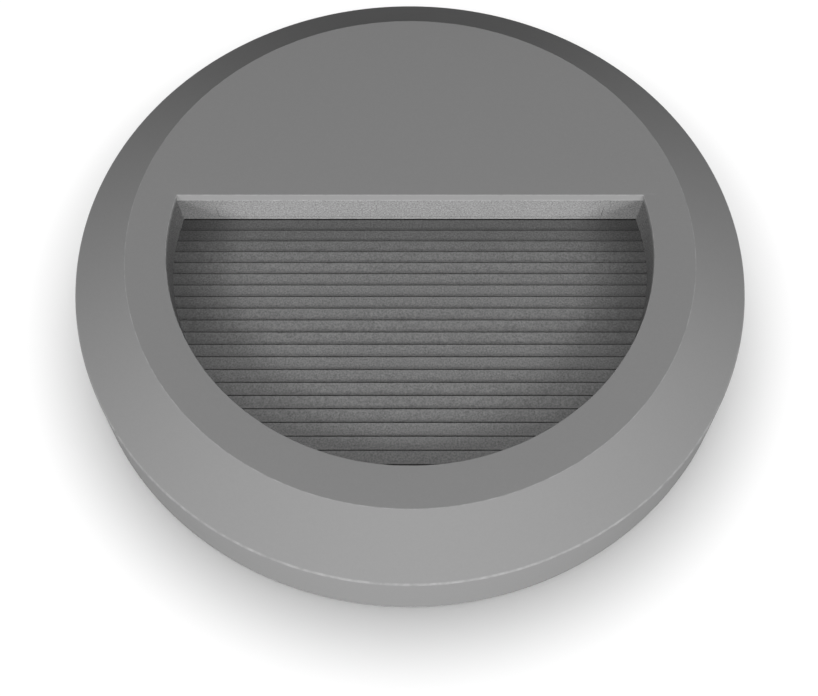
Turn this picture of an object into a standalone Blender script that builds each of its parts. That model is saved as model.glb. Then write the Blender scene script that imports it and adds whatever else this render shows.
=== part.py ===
# Round surface mounted LED light with a D-shaped, ribbed recess, lying on its back.
# Metres. +Z points out of the wall, +Y points to the straight edge of the recess,
# and the origin is the centre of the mounting face.

import math

import bmesh
import bpy
from mathutils import Vector

# Shared values: the gap between pieces that touch, and how far a cutter runs past its cut
GAP = 0.0003
OVERRUN = 0.002
MERGE = 0.00001
ROUND_STEPS = 96
SEAL_STEPS = 48
GLAND_STEPS = 32
SMALL_STEPS = 20
SMOOTH_ANGLE = math.radians(35)
FLAT_ANGLE = math.radians(0.05)

# Turns of a drawn outline, by the direction in which it is run
ALONG_X = (math.pi / 2, 0, math.pi / 2)
ALONG_Y = (math.pi / 2, 0, 0)
ALONG_Z = (0, 0, 0)

# Outside of the cast housing
RIM_RADIUS = 0.0625
SKIRT_DRAFT = 0.0013
CONE_RUN = 0.0105
SKIRT_HEIGHT = 0.012
CONE_HEIGHT = 0.006
SHOULDER_FILLET = 0.0006
FACE_FILLET = 0.0003
FILLET_STEPS = 3
WALL = 0.002
LEDGE_WIDTH = 0.0025

# D-shaped recess and its ribbed floor. The face leaves a border round it
FACE_BORDER = 0.0073
RECESS_CENTRE_Y = -0.00025
CHORD_CHAMFER = 0.00075
REAR_CLEARANCE = 0.0016
RECESS_WALL = 0.002
RECESS_FLOOR = 0.0016
RIB_PITCH = 0.0025
RIB_CLIMB = 0.00025
RIB_RISER = 0.0007
RIB_HOLLOW = 0.00008

# Light window in the straight wall of the recess, and its seal
WINDOW_MARGIN = 0.00675
WINDOW_SILL = 0.0006
WINDOW_LIP = 0.0007
WINDOW_FLANGE = 0.001
SEAL_THICKNESS = 0.0008

# Light source: LED packages on a metal-core strip, on an angle profile
LED_PITCH = 0.008
LED_ROW_MARGIN = 0.0072
LED_TOP_CLEARANCE = 0.001
LED_LENGTH = 0.0035
LED_HEIGHT = 0.0028
LED_THICKNESS = 0.0007
LED_DISH_RADIUS = 0.0011
LED_DISH_DEPTH = 0.00015
LED_AIR = 0.00095
LED_BOARD_THICKNESS = 0.001
LED_BOARD_MARGIN = 0.00035
CARRIER_THICKNESS = 0.0015
CARRIER_FLANGE = 0.0025
CARRIER_MARGIN = 0.0015
TAB_LENGTH = 0.008
TAB_DEPTH = 0.0064
POST_RADIUS = 0.0025

# Back plate, its seal and its screws
PLATE_THICKNESS = 0.0018
PLATE_SEAL_THICKNESS = 0.001
BOSS_RADIUS = 0.0032
BOSS_MARGIN = 0.0023
BOSS_ANGLES = (60, 120, 240, 300)
PLATE_SCREW_RADIUS = 0.0012
PLATE_SCREW_LENGTH = 0.0065
PLATE_SCREW_HEAD_RADIUS = 0.0027
PLATE_SCREW_HEAD_HEIGHT = 0.0015

# Cable gland in the back plate
GLAND_BORE_RADIUS = 0.0032
GLAND_NECK_RADIUS = 0.0052
GLAND_FLANGE_RADIUS = 0.0072
GLAND_FLANGE_HEIGHT = 0.0013
GLAND_LIP = 0.0006
GLAND_MARGIN = 0.0008

# Wall bracket with its two ears, and the grub screws that press on them
BRACKET_THICKNESS = 0.0015
BRACKET_WIDTH = 0.028
BRACKET_NECK = 0.0015
BRACKET_TAPER = 0.005
BRACKET_CORNER = 0.002
BEND_RADIUS = 0.002
EAR_HEIGHT = 0.005
EAR_WIDTH = 0.012
SLOT_SPACING = 0.06
SLOT_LENGTH = 0.012
SLOT_WIDTH = 0.0045
PAD_DEPTH = 0.0049
PAD_WIDTH = 0.008
GRUB_RADIUS = 0.0015
GRUB_LENGTH = 0.006
GRUB_HEIGHT_SHARE = 0.58
GRUB_SOCKET_RADIUS = 0.00085
GRUB_SOCKET_DEPTH = 0.0015

# Small round-headed screws inside
SMALL_SCREW_RADIUS = 0.0008
SMALL_SCREW_LENGTH = 0.006
SMALL_HEAD_RADIUS = 0.0014
SMALL_HEAD_HEIGHT = 0.0011
HEAD_CLEARANCE = 0.0007

# Driver: insulating sheet, circuit board and the components on it. Places on the board
# are shares of its length and of its depth. The tall components reach up to a clearance
# under the roof of the casting, and the supply cord has its room beyond the board
SHEET_THICKNESS = 0.0004
SHEET_MARGIN = 0.001
DRIVER_THICKNESS = 0.0012
DRIVER_DEPTH = 0.019
DRIVER_RIM = 0.002
DRIVER_MARGIN = 0.0017
CORD_ROOM = 0.004825
DRIVER_SCREW_SHARES = ((0.06, 0.16), (0.94, 0.72))
DRIVER_SCREW_LENGTH = 0.0036
FUSE_SHARES = (0.06, 0.52)
VARISTOR_SHARES = (0.19, 0.35)
RECTIFIER_SHARES = (0.21, 0.8)
CHIP_SHARES = (0.43, 0.84)
INPUT_CAPACITOR_SHARES = (0.42, 0.36)
OUTPUT_CAPACITOR_SHARES = (0.7, 0.36)
INDUCTOR_SHARES = (0.66, 0.78)
NEUTRAL_PAD_SHARES = (0.04, 0.8)
LIVE_PAD_SHARES = (0.04, 0.94)
LED_PAD_SHARE = 0.2
STANDOFF_RADIUS = 0.0022
FUSE_RADIUS = 0.0014
FUSE_LENGTH = 0.007
VARISTOR_CLEARANCE = 0.0009
VARISTOR_THICKNESS = 0.0022
RECTIFIER_SIZE = (0.006, 0.0046, 0.0024)
CHIP_SIZE = (0.005, 0.004, 0.0015)
INPUT_CAPACITOR_CLEARANCE = 0.0005
INPUT_CAPACITOR_LENGTH = 0.011
OUTPUT_CAPACITOR_CLEARANCE = 0.0011
OUTPUT_CAPACITOR_LENGTH = 0.009
CAPACITOR_CRIMP = 0.0003
INDUCTOR_RADIUS = 0.003
INDUCTOR_WAIST_RADIUS = 0.0022
INDUCTOR_CLEARANCE = 0.0011
INDUCTOR_RIM = 0.0009
COMPONENT_BEVEL = 0.0003

# Terminal block and the leads inside the housing
TERMINAL_LENGTH = 0.019
TERMINAL_WIDTH = 0.01
TERMINAL_CLEARANCE = 0.0016
TERMINAL_ROOM = 0.012
TERMINAL_PITCH = 0.006
TERMINAL_ENTRY_RADIUS = 0.0013
TERMINAL_ENTRY_SHARE = 0.4
TERMINAL_SCREW_RADIUS = 0.0014
TERMINAL_SCREW_HEIGHT = 0.0012
TERMINAL_BEVEL = 0.0004
MAINS_LEAD_RADIUS = 0.0008
LED_LEAD_RADIUS = 0.0006
LED_LEAD_SPACING = 0.0026
LED_LEAD_MARGIN = 0.0018
LEAD_SIDES_RESOLUTION = 2
LEAD_STEPS = 5
EARTH_POST_INSET = 0.00625
EARTH_LEAD_LENGTH = 0.003
EARTH_TAG_RADIUS = 0.0024
EARTH_TAG_THICKNESS = 0.0006
EARTH_BARREL_LENGTH = 0.0036
EARTH_BARREL_WIDTH = 0.0022

# Radii of the outside
shoulder_radius = RIM_RADIUS - SKIRT_DRAFT
face_radius = shoulder_radius - CONE_RUN
recess_radius = face_radius - FACE_BORDER

# Heights, from the wall outwards
face_z = SKIRT_HEIGHT + CONE_HEIGHT
roof_z = face_z - WALL
plate_bottom_z = EAR_HEIGHT + 2 * GAP
plate_top_z = plate_bottom_z + PLATE_THICKNESS
ledge_z = plate_top_z + PLATE_SEAL_THICKNESS + 2 * GAP
sheet_top_z = plate_top_z + GAP + SHEET_THICKNESS
driver_bottom_z = sheet_top_z + GAP
driver_top_z = driver_bottom_z + DRIVER_THICKNESS
component_z = driver_top_z + GAP
terminal_height = roof_z - TERMINAL_CLEARANCE - driver_bottom_z
carrier_bottom_z = plate_top_z + SMALL_HEAD_HEIGHT + HEAD_CLEARANCE
carrier_top_z = roof_z - GAP
carrier_middle_z = (carrier_bottom_z + carrier_top_z) / 2
tab_top_z = carrier_bottom_z + CARRIER_THICKNESS
post_bottom_z = tab_top_z + GAP
grub_z = EAR_HEIGHT * GRUB_HEIGHT_SHARE

# The foot of the straight wall clears the back plate, and the window stands just above it
foot_z = plate_top_z + REAR_CLEARANCE + RECESS_FLOOR + RIB_RISER
slot_bottom_z = foot_z + WINDOW_SILL
slot_top_z = roof_z - WINDOW_LIP
light_z = roof_z - LED_TOP_CLEARANCE - LED_HEIGHT / 2


def skirt_radius(z):
    """Outer radius of the skirt at height z."""
    return RIM_RADIUS - SKIRT_DRAFT * z / SKIRT_HEIGHT


def inner_skirt_radius(z):
    return skirt_radius(z) - WALL


ledge_outer_radius = inner_skirt_radius(ledge_z)
ledge_inner_radius = ledge_outer_radius - LEDGE_WIDTH
plate_radius = ledge_outer_radius - GAP
boss_ring_radius = ledge_inner_radius - BOSS_RADIUS - BOSS_MARGIN
driver_limit_radius = ledge_inner_radius - DRIVER_RIM
pad_inner_x = inner_skirt_radius(0) - PAD_DEPTH
ear_outer_x = pad_inner_x - 2 * GAP

# Places along Y, from the cable gland in towards the straight wall of the recess
gland_y = ledge_inner_radius - GLAND_FLANGE_RADIUS - GLAND_MARGIN
driver_back_y = gland_y - GLAND_FLANGE_RADIUS - CORD_ROOM
driver_front_y = driver_back_y - DRIVER_DEPTH
carrier_front_y = driver_front_y - CARRIER_FLANGE - 2 * GAP
carrier_back_y = carrier_front_y + CARRIER_THICKNESS
led_board_back_y = carrier_front_y - GAP
led_board_front_y = led_board_back_y - LED_BOARD_THICKNESS
led_front_y = led_board_front_y - GAP - LED_THICKNESS
flange_back_y = led_front_y - LED_AIR
flange_front_y = flange_back_y - WINDOW_FLANGE
seal_back_y = flange_front_y - GAP
seal_front_y = seal_back_y - SEAL_THICKNESS
wall_back_y = seal_front_y - GAP
wall_y = wall_back_y - RECESS_WALL
chord_y = wall_y + CHORD_CHAMFER

# Places along X: the window along the straight wall, and the wiring behind it
chord_half_length = math.sqrt(recess_radius**2 - (wall_y - RECESS_CENTRE_Y) ** 2)
window_half_length = chord_half_length - WINDOW_MARGIN
led_count = 1 + int(2 * (window_half_length - LED_ROW_MARGIN) / LED_PITCH)
post_x = window_half_length + CARRIER_MARGIN + POST_RADIUS + GAP + WINDOW_LIP
post_y = flange_front_y + POST_RADIUS
terminal_middle_y = driver_front_y + TERMINAL_LENGTH / 2
earth_post_y = terminal_middle_y - TERMINAL_PITCH
earth_post_x = -math.sqrt((ledge_inner_radius - EARTH_POST_INSET) ** 2 - earth_post_y**2)
barrel_end_x = earth_post_x + EARTH_TAG_RADIUS + EARTH_BARREL_LENGTH
terminal_left_x = barrel_end_x + EARTH_LEAD_LENGTH
driver_left_x = terminal_left_x + TERMINAL_WIDTH + TERMINAL_ROOM
driver_right_x = math.sqrt(driver_limit_radius**2 - driver_back_y**2) - DRIVER_MARGIN

for old in list(bpy.data.objects):
    bpy.data.objects.remove(old)

parts = bpy.data.collections.new("surface mounted led light")
cutters = bpy.data.collections.new("cutters")
cutters.hide_render = True
bpy.context.scene.collection.children.link(parts)
bpy.context.scene.collection.children.link(cutters)


def paint(name, colour, roughness, metallic=0):
    material = bpy.data.materials.new(name)
    material.use_nodes = True
    shader = material.node_tree.nodes["Principled BSDF"]
    shader.inputs["Base Color"].default_value = (*colour, 1)
    shader.inputs["Roughness"].default_value = roughness
    shader.inputs["Metallic"].default_value = metallic
    return material


grey_paint = paint("grey powder coat", (0.2, 0.2, 0.2), 0.55)
frosted = paint("frosted diffuser", (0.3, 0.3, 0.3), 0.5)
silicone = paint("silicone seal", (0.06, 0.06, 0.06), 0.7)
white_mask = paint("white solder mask", (0.8, 0.8, 0.78), 0.4)
green_mask = paint("green solder mask", (0.03, 0.2, 0.08), 0.4)
phosphor = paint("led phosphor", (0.85, 0.7, 0.15), 0.5)
bare_aluminium = paint("bare aluminium", (0.7, 0.71, 0.72), 0.35, 1)
zinc_steel = paint("zinc plated steel", (0.6, 0.61, 0.63), 0.35, 1)
film = paint("insulating film", (0.75, 0.73, 0.65), 0.5)
black_plastic = paint("black moulding", (0.02, 0.02, 0.02), 0.5)
white_plastic = paint("white moulding", (0.75, 0.75, 0.72), 0.45)
blue_coat = paint("blue coating", (0.05, 0.12, 0.4), 0.4)
ferrite = paint("ferrite", (0.06, 0.055, 0.05), 0.6)
brown_lead = paint("brown insulation", (0.2, 0.08, 0.03), 0.45)
blue_lead = paint("blue insulation", (0.03, 0.1, 0.4), 0.45)
green_lead = paint("green insulation", (0.1, 0.4, 0.06), 0.45)
red_lead = paint("red insulation", (0.5, 0.03, 0.03), 0.45)
black_lead = paint("black insulation", (0.02, 0.02, 0.02), 0.45)
brass = paint("brass", (0.75, 0.6, 0.3), 0.35, 1)


def add(name, mesh, material=None):
    """Links a mesh as a part with its material or, with none, as a hidden cutter."""
    thing = bpy.data.objects.new(name, mesh)
    if material:
        parts.objects.link(thing)
        mesh.materials.append(material)
    else:
        cutters.objects.link(thing)
        thing.hide_render = True
        thing.display_type = "WIRE"
    return thing


def finish(shape, name):
    """Turns a bmesh into a mesh whose round sides are shaded smooth."""
    bmesh.ops.recalc_face_normals(shape, faces=shape.faces)
    mesh = bpy.data.meshes.new(name)
    shape.to_mesh(mesh)
    shape.free()
    mesh.shade_smooth()
    mesh.set_sharp_from_angle(angle=SMOOTH_ANGLE)
    return mesh


def box(name, low, high, material=None):
    shape = bmesh.new()
    bmesh.ops.create_cube(shape, size=1)
    low, high = Vector(low), Vector(high)
    bmesh.ops.scale(shape, vec=high - low, verts=shape.verts)
    thing = add(name, finish(shape, name), material)
    thing.location = (low + high) / 2
    return thing


def cylinder(name, radius, start, end, material=None, end_radius=None, steps=SMALL_STEPS):
    """A cylinder, or a cone where end_radius is given, from one point to another."""
    start, end = Vector(start), Vector(end)
    shape = bmesh.new()
    bmesh.ops.create_cone(
        shape,
        cap_ends=True,
        segments=steps,
        radius1=radius,
        radius2=radius if end_radius is None else end_radius,
        depth=(end - start).length,
    )
    thing = add(name, finish(shape, name), material)
    thing.location = (start + end) / 2
    thing.rotation_euler = (end - start).to_track_quat("Z", "Y").to_euler()
    return thing


def turned(name, profile, material=None, centre=(0, 0), steps=ROUND_STEPS, closed=False):
    """Turns (radius, height) points about a vertical axis, given down the outer side."""
    shape = bmesh.new()
    points = [shape.verts.new((radius, 0, z)) for radius, z in profile]
    for first, second in zip(points, points[1:]):
        shape.edges.new((first, second))
    if closed:
        shape.edges.new((points[-1], points[0]))
    mesh = bpy.data.meshes.new(name)
    shape.to_mesh(mesh)
    shape.free()
    thing = add(name, mesh, material)
    thing.location = (*centre, 0)
    screw = thing.modifiers.new("turn", "SCREW")
    screw.steps = steps
    screw.render_steps = steps
    screw.use_merge_vertices = True
    screw.merge_threshold = MERGE
    screw.use_smooth_shade = True
    flat = thing.modifiers.new("flat ends", "DECIMATE")
    flat.decimate_type = "DISSOLVE"
    flat.angle_limit = FLAT_ANGLE
    return thing


def extruded(name, outline, half_length, material=None, turn=ALONG_X):
    """A closed outline, drawn as a filled curve and run both ways along X, Y or Z."""
    curve = bpy.data.curves.new(name, "CURVE")
    curve.dimensions = "2D"
    curve.fill_mode = "BOTH"
    curve.extrude = half_length
    spline = curve.splines.new("POLY")
    spline.points.add(len(outline) - 1)
    for point, (across, up) in zip(spline.points, outline):
        point.co = (across, up, 0, 1)
    spline.use_cyclic_u = True
    drawn = bpy.data.objects.new(name + " outline", curve)
    cutters.objects.link(drawn)
    drawn.rotation_euler = turn
    bpy.context.view_layer.update()
    graph = bpy.context.evaluated_depsgraph_get()
    shape = bmesh.new()
    shape.from_mesh(bpy.data.meshes.new_from_object(drawn.evaluated_get(graph)))
    bmesh.ops.remove_doubles(shape, verts=shape.verts, dist=MERGE)
    thing = add(name, finish(shape, name), material)
    thing.matrix_world = drawn.matrix_world
    bpy.data.objects.remove(drawn)
    return thing


def boolean(thing, other, operation):
    step = thing.modifiers.new(operation.lower() + " " + other.name, "BOOLEAN")
    step.operation = operation
    step.object = other
    step.solver = "EXACT"


def cut(thing, *others):
    for other in others:
        boolean(thing, other, "DIFFERENCE")


def join(thing, *others):
    for other in others:
        boolean(thing, other, "UNION")


def keep_inside(thing, other):
    boolean(thing, other, "INTERSECT")


def bevel(thing, width, segments=1):
    step = thing.modifiers.new("bevel", "BEVEL")
    step.width = width
    step.segments = segments
    step.limit_method = "ANGLE"


def rounded(before, corner, after, radius):
    """Points of an arc that rounds a corner between two straight runs."""
    corner = Vector(corner)
    to_before = (Vector(before) - corner).normalized()
    to_after = (Vector(after) - corner).normalized()
    half = to_before.angle(to_after) / 2
    centre = corner + (to_before + to_after).normalized() * radius / math.sin(half)
    first = corner + to_before * radius / math.tan(half) - centre
    last = corner + to_after * radius / math.tan(half) - centre
    arc = []
    for step in range(FILLET_STEPS + 1):
        spoke = first.lerp(last, step / FILLET_STEPS).normalized() * radius
        arc.append(tuple(centre + spoke))
    return arc


def on_circle(radius, degrees, centre_x=0, centre_y=0):
    turn = math.radians(degrees)
    return centre_x + radius * math.cos(turn), centre_y + radius * math.sin(turn)


def upright(x, y, low, high):
    """Two points of a vertical line, for a cylinder."""
    return (x, y, low), (x, y, high)


# Recess: saw-tooth treads step up away from the straight wall, short risers facing it
arc_bottom_y = RECESS_CENTRE_Y - recess_radius
rib_count = math.ceil((wall_y - arc_bottom_y) / RIB_PITCH) + 1
climb_slope = RIB_CLIMB / RIB_PITCH


def crest_z(y):
    """Height of the plane that touches every crest of the ribbed floor."""
    return foot_z + (wall_y - y) * climb_slope


def ribbed_profile():
    points = []
    for rib in range(rib_count):
        crest_y = wall_y - rib * RIB_PITCH
        valley_y = crest_y - RIB_PITCH
        valley_z = crest_z(valley_y) - RIB_RISER
        middle_z = (crest_z(crest_y) + valley_z) / 2 - RIB_HOLLOW
        points.append((crest_y, crest_z(crest_y)))
        points.append(((crest_y + valley_y) / 2, middle_z))
        points.append((valley_y, valley_z))
    last_y = points[-1][0]
    points.append((last_y, face_z + OVERRUN))
    points.append((chord_y + OVERRUN, face_z + OVERRUN))
    points.append((wall_y, face_z - CHORD_CHAMFER))
    return points


def recess_cutter():
    cutter = extruded("recess cutter", ribbed_profile(), recess_radius + OVERRUN)
    ends = upright(0, RECESS_CENTRE_Y, 0, face_z + 2 * OVERRUN)
    keep_inside(cutter, cylinder("recess arc", recess_radius, *ends, steps=ROUND_STEPS))
    return cutter


def recess_block():
    """The solid that the recess is cut from: its walls and floor, seen from inside."""
    under = RIB_RISER + RECESS_FLOOR
    outer_radius = recess_radius + RECESS_WALL
    low_y = RECESS_CENTRE_Y - outer_radius - OVERRUN
    outline = [
        (wall_back_y, crest_z(wall_back_y) - under),
        (low_y, crest_z(low_y) - under),
        (low_y, face_z),
        (wall_back_y, face_z),
    ]
    block = extruded("recess block", outline, outer_radius + OVERRUN)
    ends = upright(0, RECESS_CENTRE_Y, 0, face_z + OVERRUN)
    keep_inside(block, cylinder("recess outer arc", outer_radius, *ends, steps=ROUND_STEPS))
    return block


def inner_cone_z(radius):
    """Height of the inside of the cone: the outer cone moved in by one wall."""
    lean = CONE_RUN / CONE_HEIGHT
    drop = WALL * math.sqrt(1 + lean * lean) / lean
    return face_z - drop - (radius - face_radius) / lean


def inner_cone_radius(z):
    lean = CONE_RUN / CONE_HEIGHT
    drop = WALL * math.sqrt(1 + lean * lean) / lean
    return face_radius + (face_z - drop - z) * lean


def boss_places():
    return [on_circle(boss_ring_radius, degrees) for degrees in BOSS_ANGLES]


def post_places():
    return [(-post_x, post_y), (post_x, post_y)]


def grub_ends(side, inner, outer):
    return (side * inner, 0, grub_z), (side * outer, 0, grub_z)


def housing_core():
    """The hollow of the casting, less the recess and everything that stands in it."""
    profile = [
        (0, roof_z),
        (inner_cone_radius(roof_z), roof_z),
        (ledge_inner_radius, inner_cone_z(ledge_inner_radius)),
        (ledge_inner_radius, ledge_z),
        (ledge_outer_radius, ledge_z),
        (inner_skirt_radius(-OVERRUN), -OVERRUN),
        (0, -OVERRUN),
    ]
    core = turned("housing core", profile)
    cut(core, recess_block())
    for number, (x, y) in enumerate(boss_places(), 1):
        ends = upright(x, y, plate_top_z + GAP, face_z)
        cut(core, cylinder(f"boss {number}", BOSS_RADIUS, *ends))
    for number, (x, y) in enumerate(post_places(), 1):
        ends = upright(x, y, post_bottom_z, face_z)
        cut(core, cylinder(f"post {number}", POST_RADIUS, *ends))
    ends = upright(earth_post_x, earth_post_y, post_bottom_z, face_z)
    cut(core, cylinder("earth post", POST_RADIUS, *ends))
    for side, word in ((-1, "left"), (1, "right")):
        low_x, high_x = sorted((side * pad_inner_x, side * RIM_RADIUS))
        low = (low_x, -PAD_WIDTH / 2, 0)
        high = (high_x, PAD_WIDTH / 2, plate_bottom_z - GAP)
        cut(core, box(f"{word} pad", low, high))
    return core


def front_housing():
    """The cast shell: flat face, cone, skirt, and the ribbed recess."""
    top = (0, face_z)
    face_edge = (face_radius, face_z)
    shoulder = (shoulder_radius, SKIRT_HEIGHT)
    rim = (RIM_RADIUS, 0)
    profile = [top]
    profile += rounded(top, face_edge, shoulder, FACE_FILLET)
    profile += rounded(face_edge, shoulder, rim, SHOULDER_FILLET)
    profile += [rim, (0, 0)]
    housing = turned("front_housing", profile, grey_paint)
    cut(housing, housing_core(), recess_cutter())
    slot_low = (-window_half_length, wall_y - OVERRUN, slot_bottom_z)
    slot_high = (window_half_length, wall_back_y + OVERRUN, slot_top_z)
    cut(housing, box("window slot", slot_low, slot_high))
    for number, (x, y) in enumerate(boss_places(), 1):
        top_z = plate_bottom_z + PLATE_SCREW_LENGTH + GAP
        ends = upright(x, y, plate_top_z - OVERRUN, top_z)
        cut(housing, cylinder(f"boss bore {number}", PLATE_SCREW_RADIUS + GAP, *ends))
    small_bores = post_places() + [(earth_post_x, earth_post_y)]
    for number, (x, y) in enumerate(small_bores, 1):
        top_z = carrier_bottom_z - GAP + SMALL_SCREW_LENGTH + GAP
        ends = upright(x, y, post_bottom_z - OVERRUN, top_z)
        cut(housing, cylinder(f"post bore {number}", SMALL_SCREW_RADIUS + GAP, *ends))
    for side, word in ((-1, "left"), (1, "right")):
        ends = grub_ends(side, pad_inner_x - OVERRUN, RIM_RADIUS + OVERRUN)
        cut(housing, cylinder(f"{word} grub bore", GRUB_RADIUS + GAP, *ends))


def light_window():
    nose_half = window_half_length - GAP
    nose_low = (-nose_half, wall_y, slot_bottom_z + GAP)
    nose_high = (nose_half, flange_back_y - GAP, slot_top_z - GAP)
    flange_half = window_half_length + WINDOW_LIP
    flange_low = (-flange_half, flange_front_y, slot_bottom_z - WINDOW_LIP)
    flange_high = (flange_half, flange_back_y, slot_top_z + WINDOW_LIP - GAP)
    window = box("light_window", flange_low, flange_high, frosted)
    join(window, box("window nose", nose_low, nose_high))
    seal_low = (-flange_half, seal_front_y, slot_bottom_z - WINDOW_LIP)
    seal_high = (flange_half, seal_back_y, slot_top_z + WINDOW_LIP - GAP)
    seal = box("window_seal", seal_low, seal_high, silicone)
    hole_low = (-window_half_length, seal_front_y - OVERRUN, slot_bottom_z)
    hole_high = (window_half_length, seal_back_y + OVERRUN, slot_top_z)
    cut(seal, box("window seal hole", hole_low, hole_high))


def led_places():
    first = -(led_count - 1) / 2
    return [(first + number) * LED_PITCH for number in range(led_count)]


def led_screw_places():
    """The strip's screws stand midway between two LED packages, one on each side."""
    spots = led_places()
    return [(spots[1] + spots[2]) / 2, (spots[-3] + spots[-2]) / 2]


def led_lead_places():
    first = led_places()[-1] + LED_LENGTH / 2 + LED_LEAD_MARGIN
    return [first, first + LED_LEAD_SPACING]


def led_packages():
    half = Vector((LED_LENGTH, LED_THICKNESS, LED_HEIGHT)) / 2
    for number, x in enumerate(led_places(), 1):
        package = box(f"led_package_{number}", -half, half, phosphor)
        package.location = (x, led_front_y + half.y, light_z)
        start = (x, led_front_y - OVERRUN, light_z)
        end = (x, led_front_y + LED_DISH_DEPTH, light_z)
        cut(package, cylinder(f"led dish {number}", LED_DISH_RADIUS, start, end))


def led_board():
    low = (-window_half_length, led_board_front_y, carrier_bottom_z + LED_BOARD_MARGIN)
    high = (window_half_length, led_board_back_y, carrier_top_z - LED_BOARD_MARGIN)
    board = box("led_board", low, high, white_mask)
    carrier_outline = [
        (carrier_front_y, carrier_bottom_z),
        (carrier_front_y + CARRIER_FLANGE, carrier_bottom_z),
        (carrier_front_y + CARRIER_FLANGE, tab_top_z),
        (carrier_back_y, tab_top_z),
        (carrier_back_y, carrier_top_z),
        (carrier_front_y, carrier_top_z),
    ]
    carrier_half = window_half_length + CARRIER_MARGIN
    carrier = extruded("led_carrier", carrier_outline, carrier_half, bare_aluminium)
    tab_start = carrier_half - CARRIER_MARGIN + 2 * GAP
    for side, word in ((-1, "left"), (1, "right")):
        low_x, high_x = sorted((side * tab_start, side * (tab_start + TAB_LENGTH)))
        tab_low = (low_x, carrier_back_y - TAB_DEPTH, carrier_bottom_z)
        tab_high = (high_x, carrier_back_y, tab_top_z)
        join(carrier, box(f"{word} tab", tab_low, tab_high))
    for number, (x, y) in enumerate(post_places(), 1):
        ends = upright(x, y, carrier_bottom_z - OVERRUN, tab_top_z + OVERRUN)
        cut(carrier, cylinder(f"tab hole {number}", SMALL_SCREW_RADIUS + GAP, *ends))
    start_y = led_board_front_y - OVERRUN
    end_y = carrier_back_y + OVERRUN
    for number, x in enumerate(led_screw_places(), 1):
        ends = (x, start_y, light_z), (x, end_y, light_z)
        hole = cylinder(f"board screw hole {number}", SMALL_SCREW_RADIUS + GAP, *ends)
        cut(board, hole)
        cut(carrier, hole)
    for number, x in enumerate(led_lead_places(), 1):
        ends = (x, start_y, carrier_middle_z), (x, end_y, carrier_middle_z)
        hole = cylinder(f"led lead hole {number}", LED_LEAD_RADIUS + GAP, *ends)
        cut(board, hole)
        cut(carrier, hole)


def small_screw(name, seat, direction, length=SMALL_SCREW_LENGTH):
    """A pan-headed screw: seat is the middle of the head's underside."""
    seat, direction = Vector(seat), Vector(direction)
    head_top = seat - direction * SMALL_HEAD_HEIGHT
    screw = cylinder(name, SMALL_HEAD_RADIUS, head_top, seat, zinc_steel)
    overlap = SMALL_HEAD_HEIGHT / 2
    start = seat - direction * overlap
    join(screw, cylinder(name + " shank", SMALL_SCREW_RADIUS, start, seat + direction * length))


def inner_screws():
    down, up, back = (0, 0, -1), (0, 0, 1), (0, 1, 0)
    for (x, y), word in zip(post_places(), ("left", "right")):
        small_screw(f"carrier_screw_{word}", (x, y, carrier_bottom_z - GAP), up)
    for x, word in zip(led_screw_places(), ("left", "right")):
        length = carrier_back_y - led_board_front_y
        seat = (x, led_board_front_y - GAP, light_z)
        small_screw(f"led_board_screw_{word}", seat, back, length)
    tag_bottom_z = post_bottom_z - GAP - EARTH_TAG_THICKNESS
    seat = (earth_post_x, earth_post_y, tag_bottom_z - GAP)
    length = SMALL_SCREW_LENGTH - (tag_bottom_z - carrier_bottom_z)
    small_screw("earth_screw", seat, up, length)
    for number, (x, y) in enumerate(driver_screw_places(), 1):
        seat = (x, y, driver_top_z + GAP)
        small_screw(f"driver_screw_{number}", seat, down, DRIVER_SCREW_LENGTH)


def driver_spot(across, along):
    """A place on the driver board, as shares of its length and of its depth."""
    length = driver_right_x - driver_left_x
    return driver_left_x + length * across, driver_front_y + DRIVER_DEPTH * along


def driver_screw_places():
    return [driver_spot(*shares) for shares in DRIVER_SCREW_SHARES]


def back_plate():
    ends = upright(0, 0, plate_bottom_z, plate_top_z)
    plate = cylinder("back_plate", plate_radius, *ends, bare_aluminium, steps=ROUND_STEPS)
    for number, (x, y) in enumerate(driver_screw_places(), 1):
        ends = upright(x, y, plate_bottom_z + PLATE_THICKNESS / 2, sheet_top_z)
        join(plate, cylinder(f"standoff {number}", STANDOFF_RADIUS, *ends))
    for number, (x, y) in enumerate(driver_screw_places(), 1):
        low_z = driver_top_z - DRIVER_SCREW_LENGTH
        ends = upright(x, y, low_z, sheet_top_z + OVERRUN)
        cut(plate, cylinder(f"standoff bore {number}", SMALL_SCREW_RADIUS + GAP, *ends))
    gland_ends = upright(0, gland_y, plate_bottom_z - OVERRUN, plate_top_z + OVERRUN)
    cut(plate, cylinder("gland hole", GLAND_NECK_RADIUS + GAP, *gland_ends))
    for number, (x, y) in enumerate(boss_places(), 1):
        ends = upright(x, y, plate_bottom_z - OVERRUN, plate_top_z + OVERRUN)
        cut(plate, cylinder(f"plate hole {number}", PLATE_SCREW_RADIUS + GAP, *ends))
        ends = upright(x, y, plate_bottom_z, plate_bottom_z + PLATE_SCREW_HEAD_HEIGHT)
        mouth = PLATE_SCREW_HEAD_RADIUS + GAP
        cut(plate, countersink(f"countersink {number}", mouth, ends))
    for number, (x, y) in enumerate(boss_places(), 1):
        plate_screw(f"back_plate_screw_{number}", x, y)


def back_plate_seal():
    profile = [
        (plate_radius, ledge_z - GAP),
        (plate_radius, plate_top_z + GAP),
        (ledge_inner_radius + GAP, plate_top_z + GAP),
        (ledge_inner_radius + GAP, ledge_z - GAP),
    ]
    turned("back_plate_seal", profile, silicone, steps=SEAL_STEPS, closed=True)


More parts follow.
